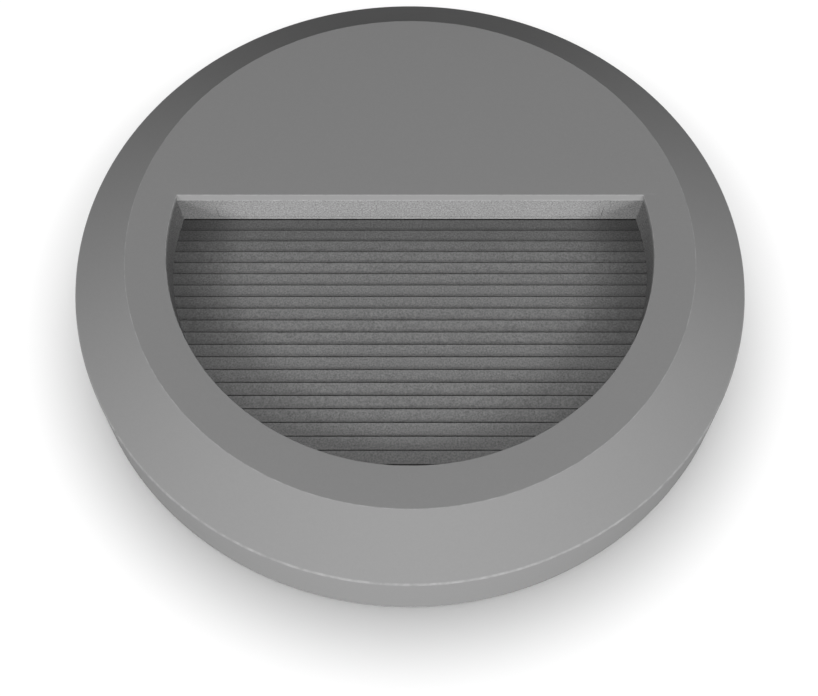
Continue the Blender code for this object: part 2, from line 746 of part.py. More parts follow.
def countersink(name, mouth, ends):
    """The cone of a countersunk head, lengthened past the plate's outer face."""
    start, end = Vector(ends[0]), Vector(ends[1])
    slope = (mouth - PLATE_SCREW_RADIUS - GAP) / (end - start).length
    wide = mouth + slope * OVERRUN
    start = start - (end - start).normalized() * OVERRUN
    return cylinder(name, wide, start, end, end_radius=PLATE_SCREW_RADIUS + GAP)


def plate_screw(name, x, y):
    """A countersunk screw whose flat head lies in the plate's outer face."""
    head_low = plate_bottom_z
    head_high = head_low + PLATE_SCREW_HEAD_HEIGHT
    profile = [
        (0, head_low + PLATE_SCREW_LENGTH),
        (PLATE_SCREW_RADIUS, head_low + PLATE_SCREW_LENGTH),
        (PLATE_SCREW_RADIUS, head_high),
        (PLATE_SCREW_HEAD_RADIUS, head_low),
        (0, head_low),
    ]
    turned(name, profile, zinc_steel, centre=(x, y), steps=SMALL_STEPS)


def cable_gland():
    """A rubber grommet that grips the plate's edge, with a soft lip round its bore."""
    outer_low = plate_bottom_z - GAP - GLAND_FLANGE_HEIGHT
    inner_high = plate_top_z + GAP + GLAND_FLANGE_HEIGHT
    profile = [
        (GLAND_BORE_RADIUS, inner_high + GLAND_LIP),
        (GLAND_BORE_RADIUS + GLAND_LIP, inner_high + GLAND_LIP),
        (GLAND_FLANGE_RADIUS, inner_high),
        (GLAND_FLANGE_RADIUS, plate_top_z + GAP),
        (GLAND_NECK_RADIUS, plate_top_z + GAP),
        (GLAND_NECK_RADIUS, plate_bottom_z - GAP),
        (GLAND_FLANGE_RADIUS, plate_bottom_z - GAP),
        (GLAND_FLANGE_RADIUS, outer_low),
        (GLAND_BORE_RADIUS, outer_low),
    ]
    centre = (0, gland_y)
    turned("cable_gland", profile, silicone, centre, steps=GLAND_STEPS, closed=True)


def wall_bracket():
    """A steel strip bent up into an ear at each end, narrower there than between."""
    inner_x = ear_outer_x - BRACKET_THICKNESS
    bent = []
    for side in (-1, 1):
        ear = (side * ear_outer_x, EAR_HEIGHT)
        bent += rounded(ear, (side * ear_outer_x, 0), (0, 0), BEND_RADIUS)[::-side]
    bent += [(ear_outer_x, EAR_HEIGHT), (inner_x, EAR_HEIGHT)]
    for side in (1, -1):
        ear = (side * inner_x, EAR_HEIGHT)
        corner = (side * inner_x, BRACKET_THICKNESS)
        inside = BEND_RADIUS - BRACKET_THICKNESS
        bent += rounded(ear, corner, (0, BRACKET_THICKNESS), inside)[::side]
    bent += [(-inner_x, EAR_HEIGHT), (-ear_outer_x, EAR_HEIGHT)]
    bracket = extruded("wall_bracket", bent, BRACKET_WIDTH / 2 + OVERRUN, zinc_steel, ALONG_Y)
    blank = extruded("bracket blank", bracket_blank(), EAR_HEIGHT + OVERRUN, turn=ALONG_Z)
    keep_inside(bracket, blank)
    for side, word in ((-1, "left"), (1, "right")):
        cut(bracket, wall_slot(f"{word} wall slot", side * SLOT_SPACING / 2))


def bracket_blank():
    """The strip seen from above, with rounded corners where it narrows to the ears."""
    neck_x = ear_outer_x - BEND_RADIUS - BRACKET_NECK
    wide_x = neck_x - BRACKET_TAPER
    end_x = ear_outer_x + OVERRUN
    ear_y, wide_y = EAR_WIDTH / 2, BRACKET_WIDTH / 2
    quarter = [(end_x, ear_y)]
    quarter += rounded((end_x, ear_y), (neck_x, ear_y), (wide_x, wide_y), BRACKET_CORNER)
    quarter += rounded((neck_x, ear_y), (wide_x, wide_y), (0, wide_y), BRACKET_CORNER)
    half = quarter + [(-x, y) for x, y in reversed(quarter)]
    return half + [(-x, -y) for x, y in half]


def wall_slot(name, x):
    """A slot for a wall screw: half circles, joined by straight sides."""
    radius = SLOT_WIDTH / 2
    half_run = SLOT_LENGTH / 2 - radius
    outline = []
    for side in (1, -1):
        for step in range(SMALL_STEPS // 2 + 1):
            degrees = 360 * step / SMALL_STEPS - 90 * side
            outline.append(on_circle(radius, degrees, x + side * half_run))
    return extruded(name, outline, BRACKET_THICKNESS + OVERRUN, turn=ALONG_Z)


def grub_screws():
    """Set screws with a hexagon socket, each with its origin on its own axis."""
    tip = ear_outer_x + GAP
    outer = tip + GRUB_LENGTH
    for side, word in ((-1, "left"), (1, "right")):
        ends = grub_ends(side, tip, outer)
        screw = cylinder(f"grub_screw_{word}", GRUB_RADIUS, *ends, zinc_steel)
        ends = grub_ends(side, outer - GRUB_SOCKET_DEPTH, outer + OVERRUN)
        cut(screw, cylinder(f"{word} hexagon socket", GRUB_SOCKET_RADIUS, *ends, steps=6))


def terminal_places():
    return [terminal_middle_y + pole * TERMINAL_PITCH for pole in (-1, 0, 1)]


def terminal_block():
    low = (terminal_left_x, driver_front_y, driver_bottom_z)
    size = Vector((TERMINAL_WIDTH, TERMINAL_LENGTH, terminal_height))
    high = Vector(low) + size
    block = box("terminal_block", low, high, white_plastic)
    bevel(block, TERMINAL_BEVEL)
    middle_x = terminal_left_x + TERMINAL_WIDTH / 2
    entry_z = driver_bottom_z + terminal_height * TERMINAL_ENTRY_SHARE
    well_radius = TERMINAL_SCREW_RADIUS + GAP
    well_z = entry_z + TERMINAL_ENTRY_RADIUS + GAP
    for number, y in enumerate(terminal_places(), 1):
        start = (low[0] - OVERRUN, y, entry_z)
        end = (high.x + OVERRUN, y, entry_z)
        cut(block, cylinder(f"wire entry {number}", TERMINAL_ENTRY_RADIUS, start, end))
        ends = upright(middle_x, y, well_z, high.z + OVERRUN)
        cut(block, cylinder(f"screw well {number}", well_radius, *ends))
        ends = upright(middle_x, y, well_z + GAP, well_z + GAP + TERMINAL_SCREW_HEIGHT)
        cylinder(f"terminal_screw_{number}", TERMINAL_SCREW_RADIUS, *ends, brass)


def insulating_sheet():
    low = (terminal_left_x - SHEET_MARGIN, driver_front_y - GAP, plate_top_z + GAP)
    high = (driver_right_x + SHEET_MARGIN, driver_back_y + SHEET_MARGIN, sheet_top_z)
    sheet = box("insulating_sheet", low, high, film)
    ends = upright(0, 0, 0, face_z)
    limit = cylinder("driver limit", driver_limit_radius, *ends, steps=ROUND_STEPS)
    keep_inside(sheet, limit)
    board_low = (driver_left_x, driver_front_y, driver_bottom_z)
    board_high = (driver_right_x, driver_back_y, driver_top_z)
    board = box("driver_board", board_low, board_high, green_mask)
    keep_inside(board, limit)
    for number, (x, y) in enumerate(driver_screw_places(), 1):
        ends = upright(x, y, plate_top_z - OVERRUN, sheet_top_z + OVERRUN)
        cut(sheet, cylinder(f"sheet hole {number}", STANDOFF_RADIUS + GAP, *ends))
        ends = upright(x, y, driver_bottom_z - OVERRUN, driver_top_z + OVERRUN)
        cut(board, cylinder(f"driver hole {number}", SMALL_SCREW_RADIUS + GAP, *ends))


def under_roof(clearance):
    """The height of a component that reaches up to a clearance under the roof."""
    return roof_z - clearance - component_z


def lying(name, radius, length, shares, material, along=(1, 0, 0)):
    """A round component that lies on the driver board."""
    middle = Vector((*driver_spot(*shares), component_z + radius))
    half = Vector(along) * length / 2
    return cylinder(name, radius, middle - half, middle + half, material)


def flat_component(name, size, shares, material):
    x, y = driver_spot(*shares)
    low = Vector((x - size[0] / 2, y - size[1] / 2, component_z))
    thing = box(name, low, low + Vector(size), material)
    bevel(thing, COMPONENT_BEVEL)


def driver_components():
    along_y = (0, 1, 0)
    fuse = lying("fuse_resistor", FUSE_RADIUS, FUSE_LENGTH, FUSE_SHARES, blue_coat, along_y)
    bevel(fuse, COMPONENT_BEVEL)
    radius = under_roof(VARISTOR_CLEARANCE) / 2
    disc = lying("varistor", radius, VARISTOR_THICKNESS, VARISTOR_SHARES, blue_coat)
    bevel(disc, COMPONENT_BEVEL)
    flat_component("bridge_rectifier", RECTIFIER_SIZE, RECTIFIER_SHARES, black_plastic)
    flat_component("driver_chip", CHIP_SIZE, CHIP_SHARES, black_plastic)
    can = lying(
        "input_capacitor",
        under_roof(INPUT_CAPACITOR_CLEARANCE) / 2,
        INPUT_CAPACITOR_LENGTH,
        INPUT_CAPACITOR_SHARES,
        black_plastic,
    )
    bevel(can, CAPACITOR_CRIMP)
    can = lying(
        "output_capacitor",
        under_roof(OUTPUT_CAPACITOR_CLEARANCE) / 2,
        OUTPUT_CAPACITOR_LENGTH,
        OUTPUT_CAPACITOR_SHARES,
        black_plastic,
    )
    bevel(can, CAPACITOR_CRIMP)
    top_z = component_z + under_roof(INDUCTOR_CLEARANCE)
    profile = [
        (0, top_z),
        (INDUCTOR_RADIUS, top_z),
        (INDUCTOR_RADIUS, top_z - INDUCTOR_RIM),
        (INDUCTOR_WAIST_RADIUS, top_z - INDUCTOR_RIM),
        (INDUCTOR_WAIST_RADIUS, component_z + INDUCTOR_RIM),
        (INDUCTOR_RADIUS, component_z + INDUCTOR_RIM),
        (INDUCTOR_RADIUS, component_z),
        (0, component_z),
    ]
    turned("power_inductor", profile, ferrite, driver_spot(*INDUCTOR_SHARES), steps=SMALL_STEPS)


def lead(name, radius, route, material):
    """An insulated wire along a smooth curve through the points of its route."""
    points = [Vector(point) for point in route]
    points = [2 * points[0] - points[1], *points, 2 * points[-1] - points[-2]]
    smooth = []
    for before, start, end, after in zip(points, points[1:], points[2:], points[3:]):
        for step in range(LEAD_STEPS):
            t = step / LEAD_STEPS
            bend = (2 * before - 5 * start + 4 * end - after) * t * t
            twist = (3 * start - before - 3 * end + after) * t * t * t
            smooth.append((2 * start + (end - before) * t + bend + twist) / 2)
    smooth.append(points[-2])
    curve = bpy.data.curves.new(name, "CURVE")
    curve.dimensions = "3D"
    curve.bevel_depth = radius
    curve.bevel_resolution = LEAD_SIDES_RESOLUTION
    curve.use_fill_caps = True
    curve.materials.append(material)
    spline = curve.splines.new("POLY")
    spline.points.add(len(smooth) - 1)
    for point, place in zip(spline.points, smooth):
        point.co = (*place, 1)
    parts.objects.link(bpy.data.objects.new(name, curve))


def leads():
    terminal_x = terminal_left_x + TERMINAL_WIDTH + GAP
    entry_z = driver_bottom_z + terminal_height * TERMINAL_ENTRY_SHARE
    poles = terminal_places()
    for name, y, shares, material in (
        ("neutral_lead", poles[1], NEUTRAL_PAD_SHARES, blue_lead),
        ("live_lead", poles[2], LIVE_PAD_SHARES, brown_lead),
    ):
        pad_x, pad_y = driver_spot(*shares)
        top_z = component_z + 2 * MAINS_LEAD_RADIUS
        route = [
            (terminal_x, y, entry_z),
            ((2 * terminal_x + pad_x) / 3, y, entry_z + MAINS_LEAD_RADIUS),
            (pad_x - MAINS_LEAD_RADIUS, pad_y, top_z),
            (pad_x, pad_y, component_z + MAINS_LEAD_RADIUS),
            (pad_x, pad_y, component_z),
        ]
        lead(name, MAINS_LEAD_RADIUS, route, material)
    middle_z = carrier_middle_z
    pad_y = driver_front_y + DRIVER_DEPTH * LED_PAD_SHARE
    names = ("led_lead_negative", "led_lead_positive")
    for name, x, material in zip(names, led_lead_places(), (black_lead, red_lead)):
        route = [
            (x, led_board_front_y, middle_z),
            (x, carrier_back_y, middle_z),
            (x, pad_y - 2 * LED_LEAD_RADIUS, middle_z - LED_LEAD_RADIUS / 2),
            (x, pad_y, component_z + LED_LEAD_RADIUS),
            (x, pad_y, component_z),
        ]
        lead(name, LED_LEAD_RADIUS, route, material)
    tag_top_z = post_bottom_z - GAP
    tag_z = tag_top_z - EARTH_TAG_THICKNESS
    ends = upright(earth_post_x, earth_post_y, tag_z, tag_top_z)
    tag = cylinder("earth_tag", EARTH_TAG_RADIUS, *ends, brass)
    low = (earth_post_x + EARTH_TAG_RADIUS / 2, earth_post_y - EARTH_BARREL_WIDTH / 2, tag_z)
    high = (barrel_end_x, earth_post_y + EARTH_BARREL_WIDTH / 2, tag_top_z)
    join(tag, box("earth barrel", low, high))
    ends = upright(earth_post_x, earth_post_y, tag_z - OVERRUN, tag_top_z + OVERRUN)
    cut(tag, cylinder("earth tag hole", SMALL_SCREW_RADIUS + GAP, *ends))
    route = [
        (terminal_left_x - GAP, poles[0], entry_z),
        (barrel_end_x + GAP, earth_post_y, (tag_z + tag_top_z) / 2),
    ]
    lead("earth_lead", MAINS_LEAD_RADIUS, route, green_lead)


front_housing()
light_window()
led_packages()
led_board()
inner_screws()
back_plate()
back_plate_seal()
cable_gland()
wall_bracket()
grub_screws()
terminal_block()
insulating_sheet()
driver_components()
leads()
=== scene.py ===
import math

import bmesh
import bpy
from mathutils import Euler, Matrix, Vector


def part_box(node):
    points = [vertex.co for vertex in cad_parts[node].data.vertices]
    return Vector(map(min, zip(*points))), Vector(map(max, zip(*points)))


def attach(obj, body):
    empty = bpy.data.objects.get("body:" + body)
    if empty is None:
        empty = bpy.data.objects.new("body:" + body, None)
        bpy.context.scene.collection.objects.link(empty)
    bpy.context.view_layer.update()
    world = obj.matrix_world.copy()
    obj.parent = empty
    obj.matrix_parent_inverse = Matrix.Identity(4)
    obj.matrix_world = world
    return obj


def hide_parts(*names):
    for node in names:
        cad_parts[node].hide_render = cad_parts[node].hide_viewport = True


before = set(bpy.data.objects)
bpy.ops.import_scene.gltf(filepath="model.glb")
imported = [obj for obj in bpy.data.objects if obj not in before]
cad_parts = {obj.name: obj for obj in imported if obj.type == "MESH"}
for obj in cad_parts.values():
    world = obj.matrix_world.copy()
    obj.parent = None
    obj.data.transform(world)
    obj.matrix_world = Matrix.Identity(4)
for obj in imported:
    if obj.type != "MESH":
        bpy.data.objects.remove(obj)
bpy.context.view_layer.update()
home = bpy.context.scene.collection
shownPieces = []


def linked(name, mesh):
    thing = bpy.data.objects.new(name, mesh)
    home.objects.link(thing)
    return thing


def fromShape(name, shape):
    bmesh.ops.recalc_face_normals(shape, faces=shape.faces)
    mesh = bpy.data.meshes.new(name)
    shape.to_mesh(mesh)
    shape.free()
    return linked(name, mesh)


def baked(thing):
    # the evaluated shape becomes a plain mesh and the modifiers go
    bpy.context.view_layer.update()
    graph = bpy.context.evaluated_depsgraph_get()
    mesh = bpy.data.meshes.new_from_object(
        thing.evaluated_get(graph), preserve_all_data_layers=True, depsgraph=graph
    )
    thing.modifiers.clear()
    thing.data = mesh
    return thing


def welded(thing, distance=0.000003):
    # joins corners that a boolean left a hair apart
    shape = bmesh.new()
    shape.from_mesh(thing.data)
    bmesh.ops.remove_doubles(shape, verts=shape.verts, dist=distance)
    bmesh.ops.dissolve_degenerate(shape, edges=shape.edges, dist=distance)
    shape.to_mesh(thing.data)
    shape.free()
    return thing


def carved(thing, cutters, how="DIFFERENCE", paints="INDEX"):
    for cutter in cutters:
        step = thing.modifiers.new("carve", "BOOLEAN")
        step.operation = how
        step.solver = "EXACT"
        step.material_mode = paints
        step.object = cutter
    baked(thing)
    for cutter in cutters:
        bpy.data.objects.remove(cutter)
    return thing


def spun(name, outline, steps, centre=(0, 0), ring=False):
    # turns (radius, height) points about a vertical axis; open ends get a flat cap
    shape = bmesh.new()
    rows = []
    for radius, z in outline:
        count = steps if radius > 1e-9 else 1
        turns = [2 * math.pi * k / count for k in range(count)]
        rows.append([shape.verts.new((radius * math.cos(t), radius * math.sin(t), z)) for t in turns])
    for upper, lower in zip(rows, rows[1:] + (rows[:1] if ring else [])):
        for k in range(steps):
            corners = [upper[k % len(upper)], lower[k % len(lower)]]
            corners += [lower[(k + 1) % len(lower)], upper[(k + 1) % len(upper)]]
            corners = list(dict.fromkeys(corners))
            if len(corners) > 2:
                shape.faces.new(corners)
    if not ring:
        for row in (rows[0], rows[-1]):
            if len(row) > 1:
                shape.faces.new(row)
    bmesh.ops.translate(shape, vec=(*centre, 0), verts=shape.verts)
    return fromShape(name, shape)


def block(name, low, high):
    shape = bmesh.new()
    low, high = Vector(low), Vector(high)
    bmesh.ops.create_cube(shape, size=1)
    bmesh.ops.scale(shape, vec=high - low, verts=shape.verts)
    bmesh.ops.translate(shape, vec=(low + high) / 2, verts=shape.verts)
    return fromShape(name, shape)


def rod(name, radius, start, end, steps=48, endRadius=None):
    start, end = Vector(start), Vector(end)
    shape = bmesh.new()
    bmesh.ops.create_cone(
        shape, cap_ends=True, segments=steps, radius1=radius,
        radius2=radius if endRadius is None else endRadius, depth=(end - start).length,
    )
    turn = (end - start).to_track_quat("Z", "Y").to_matrix().to_4x4()
    bmesh.ops.transform(shape, matrix=Matrix.Translation((start + end) / 2) @ turn, verts=shape.verts)
    return fromShape(name, shape)


def roundOver(before, corner, after, radius, steps):
    # points of an arc in place of the corner between two straight runs
    corner = Vector(corner)
    toBefore = (Vector(before) - corner).normalized()
    toAfter = (Vector(after) - corner).normalized()
    half = toBefore.angle(toAfter) / 2
    centre = corner + (toBefore + toAfter).normalized() * radius / math.sin(half)
    first = corner + toBefore * radius / math.tan(half) - centre
    last = corner + toAfter * radius / math.tan(half) - centre
    spokes = [first.slerp(last, k / steps) for k in range(steps + 1)]
    return [tuple(centre + spoke.normalized() * radius) for spoke in spokes]


def markEdges(mesh, narrow=0.0007):
    # narrow faces beside a convex bend are where paint and plating wear first, and where the casting's paint
    # carries a painted highlight line
    shape = bmesh.new()
    shape.from_mesh(mesh)
    marks = []
    for face in shape.faces:
        area = face.calc_area()
        bends = [edge for edge in face.edges if edge.calc_face_angle_signed(0) > 0.08]
        marks.append(1.0 if any(area < narrow * edge.calc_length() for edge in bends) else 0.0)
    shape.free()
    layer = mesh.attributes.new("edgeMask", "FLOAT", "FACE")
    layer.data.foreach_set("value", marks)


def finished(thing, body, nodes, sharp=38):
    mesh = thing.data
    mesh.shade_smooth()
    mesh.set_sharp_from_angle(angle=math.radians(sharp))
    if "edgeMask" not in mesh.attributes:
        markEdges(mesh)
    step = thing.modifiers.new("evenShading", "WEIGHTED_NORMAL")
    step.keep_sharp = True
    step.weight = 100
    baked(thing)
    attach(thing, body)
    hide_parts(*nodes)
    shownPieces.append(thing)
    return thing


def shaderGroup(name, inputs, outputs):
    tree = bpy.data.node_groups.new(name, "ShaderNodeTree")
    for label, kind, value in inputs:
        socket = tree.interface.new_socket(name=label, in_out="INPUT", socket_type="NodeSocket" + kind)
        socket.default_value = value
    for label, kind in outputs:
        tree.interface.new_socket(name=label, in_out="OUTPUT", socket_type="NodeSocket" + kind)
    return tree, tree.nodes.new("NodeGroupInput").outputs, tree.nodes.new("NodeGroupOutput").inputs


def put(tree, kind, values=None, **settings):
    # a node with its settings; a value that is a socket is wired, any other is typed in
    made = tree.nodes.new(kind)
    for key, value in settings.items():
        setattr(made, key, value)
    for key, value in (values or {}).items():
        if isinstance(value, bpy.types.NodeSocket):
            tree.links.new(value, made.inputs[key])
        else:
            made.inputs[key].default_value = value
    return made


def sumOf(tree, how, first, second=0.0, third=0.0):
    made = put(tree, "ShaderNodeMath", {0: first, 1: second, 2: third}, operation=how)
    return made.outputs[0]


def noiseAt(tree, place, scale, detail=2.0, rough=0.5):
    made = put(
        tree, "ShaderNodeTexNoise", {"Vector": place, "Scale": scale, "Detail": detail, "Roughness": rough}
    )
    return made.outputs["Fac"]


def buildGrain():
    # fine grain over broad patches, for paint, plastics, rubber and boards
    tree, given, out = shaderGroup(
        "surfaceGrain",
        [
            ("Colour", "Color", (0.5, 0.5, 0.5, 1)), ("Grain Scale", "Float", 3000),
            ("Grain Strength", "Float", 0.05), ("Patch Scale", "Float", 60),
            ("Patch Strength", "Float", 0.02), ("Roughness", "Float", 0.5),
            ("Roughness Spread", "Float", 0.3),
        ],
        [("Colour", "Color"), ("Roughness", "Float"), ("Height", "Float")],
    )
    place = put(tree, "ShaderNodeTexCoord").outputs["Object"]
    grain = noiseAt(tree, place, given["Grain Scale"], 2, 0.6)
    patch = noiseAt(tree, place, given["Patch Scale"], 3, 0.5)
    grainTone = sumOf(tree, "MULTIPLY", sumOf(tree, "SUBTRACT", grain, 0.5), given["Grain Strength"])
    patchTone = sumOf(tree, "MULTIPLY", sumOf(tree, "SUBTRACT", patch, 0.5), given["Patch Strength"])
    tone = sumOf(tree, "ADD", grainTone, patchTone)
    shade = put(tree, "ShaderNodeVectorMath", {0: given["Colour"]}, operation="SCALE")
    tree.links.new(sumOf(tree, "ADD", sumOf(tree, "MULTIPLY", tone, 2.0), 1.0), shade.inputs["Scale"])
    tree.links.new(shade.outputs[0], out["Colour"])
    wander = sumOf(tree, "MULTIPLY", sumOf(tree, "SUBTRACT", patch, 0.5), given["Roughness Spread"])
    tree.links.new(sumOf(tree, "ADD", given["Roughness"], wander), out["Roughness"])
    tree.links.new(grain, out["Height"])
    return tree


def buildWearAndHighlight():
    # a lighter colour along convex edges, broken up by noise: wear, and on the casting's paint a painted
    # highlight line
    tree, given, out = shaderGroup(
        "edgeRub",
        [
            ("Colour", "Color", (0.5, 0.5, 0.5, 1)), ("Roughness", "Float", 0.5),
            ("Rubbed And Highlight Colour", "Color", (0.6, 0.6, 0.6, 1)), ("Rubbed Roughness", "Float", 0.35),
            ("Amount", "Float", 0.3), ("Break Scale", "Float", 500),
        ],
        [("Colour", "Color"), ("Roughness", "Float"), ("Mask", "Float")],
    )
    place = put(tree, "ShaderNodeTexCoord").outputs["Object"]
    marked = put(tree, "ShaderNodeAttribute", attribute_name="edgeMask").outputs["Fac"]
    broken = noiseAt(tree, place, given["Break Scale"], 4, 0.6)
    spread = put(
        tree, "ShaderNodeMapRange", {"Value": broken, "From Min": 0.35, "From Max": 0.65}, clamp=True
    ).outputs["Result"]
    mask = sumOf(tree, "MULTIPLY", sumOf(tree, "MULTIPLY", marked, spread), given["Amount"])
    blend = put(tree, "ShaderNodeMix", data_type="RGBA")
    tree.links.new(mask, blend.inputs[0])
    tree.links.new(given["Colour"], blend.inputs[6])
    tree.links.new(given["Rubbed And Highlight Colour"], blend.inputs[7])
    smooth = put(tree, "ShaderNodeMix", {0: mask, 2: given["Roughness"], 3: given["Rubbed Roughness"]})
    tree.links.new(blend.outputs[2], out["Colour"])
    tree.links.new(smooth.outputs[0], out["Roughness"])
    tree.links.new(mask, out["Mask"])
    return tree


def buildDust():
    # a thin film of dust that settles on what faces upwards
    tree, given, out = shaderGroup(
        "settledDust",
        [
            ("Colour", "Color", (0.5, 0.5, 0.5, 1)), ("Roughness", "Float", 0.5),
            ("Dust Colour", "Color", (0.45, 0.44, 0.42, 1)), ("Amount", "Float", 0.05),
            ("Speck Scale", "Float", 900),
        ],
        [("Colour", "Color"), ("Roughness", "Float")],
    )
    place = put(tree, "ShaderNodeTexCoord").outputs["Object"]
    facing = put(tree, "ShaderNodeNewGeometry").outputs["Normal"]
    up = put(tree, "ShaderNodeSeparateXYZ", {0: facing}).outputs["Z"]
    lying = sumOf(tree, "MAXIMUM", up, 0.0)
    specks = noiseAt(tree, place, given["Speck Scale"], 5, 0.7)
    spread = put(
        tree, "ShaderNodeMapRange", {"Value": specks, "From Min": 0.45, "From Max": 0.75}, clamp=True
    ).outputs["Result"]
    mask = sumOf(tree, "MULTIPLY", sumOf(tree, "MULTIPLY", lying, spread), given["Amount"])
    blend = put(tree, "ShaderNodeMix", data_type="RGBA")
    tree.links.new(mask, blend.inputs[0])
    tree.links.new(given["Colour"], blend.inputs[6])
    tree.links.new(given["Dust Colour"], blend.inputs[7])
    dull = put(tree, "ShaderNodeMix", {0: mask, 2: given["Roughness"], 3: 0.9})
    tree.links.new(blend.outputs[2], out["Colour"])
    tree.links.new(dull.outputs[0], out["Roughness"])
    return tree


def buildStreaks():
    # drawn or rolled metal: long fine streaks and cloudy plating
    tree, given, out = shaderGroup(
        "metalStreaks",
        [
            ("Colour", "Color", (0.6, 0.6, 0.6, 1)), ("Stretch", "Vector", (1, 1, 1)),
            ("Streak Scale", "Float", 400), ("Streak Strength", "Float", 0.1),
            ("Cloud Scale", "Float", 90), ("Cloud Strength", "Float", 0.08), ("Roughness", "Float", 0.35),
        ],
        [("Colour", "Color"), ("Roughness", "Float"), ("Height", "Float")],
    )
    place = put(tree, "ShaderNodeTexCoord").outputs["Object"]
    stretched = put(tree, "ShaderNodeVectorMath", {0: place, 1: given["Stretch"]}, operation="MULTIPLY")
    streak = noiseAt(tree, stretched.outputs[0], given["Streak Scale"], 4, 0.65)
    cloud = noiseAt(tree, place, given["Cloud Scale"], 3, 0.5)
    streakTone = sumOf(tree, "MULTIPLY", sumOf(tree, "SUBTRACT", streak, 0.5), given["Streak Strength"])
    cloudTone = sumOf(tree, "MULTIPLY", sumOf(tree, "SUBTRACT", cloud, 0.5), given["Cloud Strength"])
    tone = sumOf(tree, "ADD", streakTone, cloudTone)
    shade = put(tree, "ShaderNodeVectorMath", {0: given["Colour"]}, operation="SCALE")
    tree.links.new(sumOf(tree, "ADD", sumOf(tree, "MULTIPLY", tone, 2.0), 1.0), shade.inputs["Scale"])
    tree.links.new(shade.outputs[0], out["Colour"])
    tree.links.new(sumOf(tree, "ADD", given["Roughness"], tone), out["Roughness"])
    tree.links.new(streak, out["Height"])
    return tree


def buildCornerShade():
    # painted shade that darkens the floor of the recess where it meets the round and the straight wall
    tree, given, out = shaderGroup(
        "cornerPaintedShade",
        [
            ("Colour", "Color", (0.5, 0.5, 0.5, 1)), ("Centre Y", "Float", 0.0), ("Radius", "Float", 0.04),
            ("Wall Place", "Float", 0.01), ("Round Reach", "Float", 0.01), ("Straight Reach", "Float", 0.01),
            ("Round Amount", "Float", 0.3), ("Straight Amount", "Float", 0.3), ("Speck Scale", "Float", 700),
            ("Unshaded Below", "Float", -0.03), ("Shaded Above", "Float", -0.01),
        ],
        [("Colour", "Color")],
    )
    place = put(tree, "ShaderNodeTexCoord").outputs["Object"]
    spot = put(tree, "ShaderNodeSeparateXYZ", {0: place}).outputs
    fromCentre = put(tree, "ShaderNodeCombineXYZ", {
        "X": spot["X"], "Y": sumOf(tree, "SUBTRACT", spot["Y"], given["Centre Y"])}).outputs[0]
    away = put(tree, "ShaderNodeVectorMath", {0: fromCentre}, operation="LENGTH").outputs["Value"]
    toRound = sumOf(tree, "SUBTRACT", given["Radius"], away)
    toStraight = sumOf(tree, "SUBTRACT", given["Wall Place"], spot["Y"])
    # the painted shade along the round wall fades out towards the low end of the recess
    roundShadeFade = put(tree, "ShaderNodeMapRange", {
        "Value": spot["Y"], "From Min": given["Unshaded Below"], "From Max": given["Shaded Above"],
        "To Max": given["Round Amount"]}, interpolation_type="SMOOTHSTEP").outputs["Result"]
    clear = None
    for gapTo, reach, amount in ((toRound, "Round Reach", roundShadeFade),
                                 (toStraight, "Straight Reach", given["Straight Amount"])):
        near = put(tree, "ShaderNodeMapRange", {
            "Value": gapTo, "From Min": given[reach], "From Max": 0.0}, interpolation_type="SMOOTHSTEP")
        left = sumOf(tree, "SUBTRACT", 1.0, sumOf(tree, "MULTIPLY", near.outputs["Result"], amount))
        clear = left if clear is None else sumOf(tree, "MULTIPLY", clear, left)
    specks = sumOf(tree, "MULTIPLY_ADD", noiseAt(tree, place, given["Speck Scale"], 3, 0.6), 0.2, 0.9)
    shade = put(tree, "ShaderNodeVectorMath", {0: given["Colour"]}, operation="SCALE")
    tree.links.new(sumOf(tree, "MULTIPLY", clear, specks), shade.inputs["Scale"])
    tree.links.new(shade.outputs[0], out["Colour"])
    return tree


grainGroup, wearAndHighlightGroup, dustGroup, streakGroup = buildGrain(), buildWearAndHighlight(), buildDust(), buildStreaks()
cornerShadeGroup = buildCornerShade()


def newMaterial(name, roughness=0.5, metallic=0.0, specular=0.5, coat=0.0):
    material = bpy.data.materials.new(name)
    material.use_nodes = True
    shader = material.node_tree.nodes["Principled BSDF"]
    shader.inputs["Roughness"].default_value = roughness
    shader.inputs["Metallic"].default_value = metallic
    shader.inputs["Specular IOR Level"].default_value = specular
    shader.inputs["Coat Weight"].default_value = coat
    return material, material.node_tree, shader


def layered(tree, colour, roughness, group, values):
    made = put(tree, "ShaderNodeGroup", node_tree=group)
    for key, value in values.items():
        made.inputs[key].default_value = value
    if colour is not None:
        tree.links.new(colour, made.inputs["Colour"])
        tree.links.new(roughness, made.inputs["Roughness"])
    return made.outputs


def bumped(tree, shader, height, strength, distance):
    made = put(tree, "ShaderNodeBump", {"Strength": strength, "Distance": distance, "Height": height})
    tree.links.new(made.outputs["Normal"], shader.inputs["Normal"])


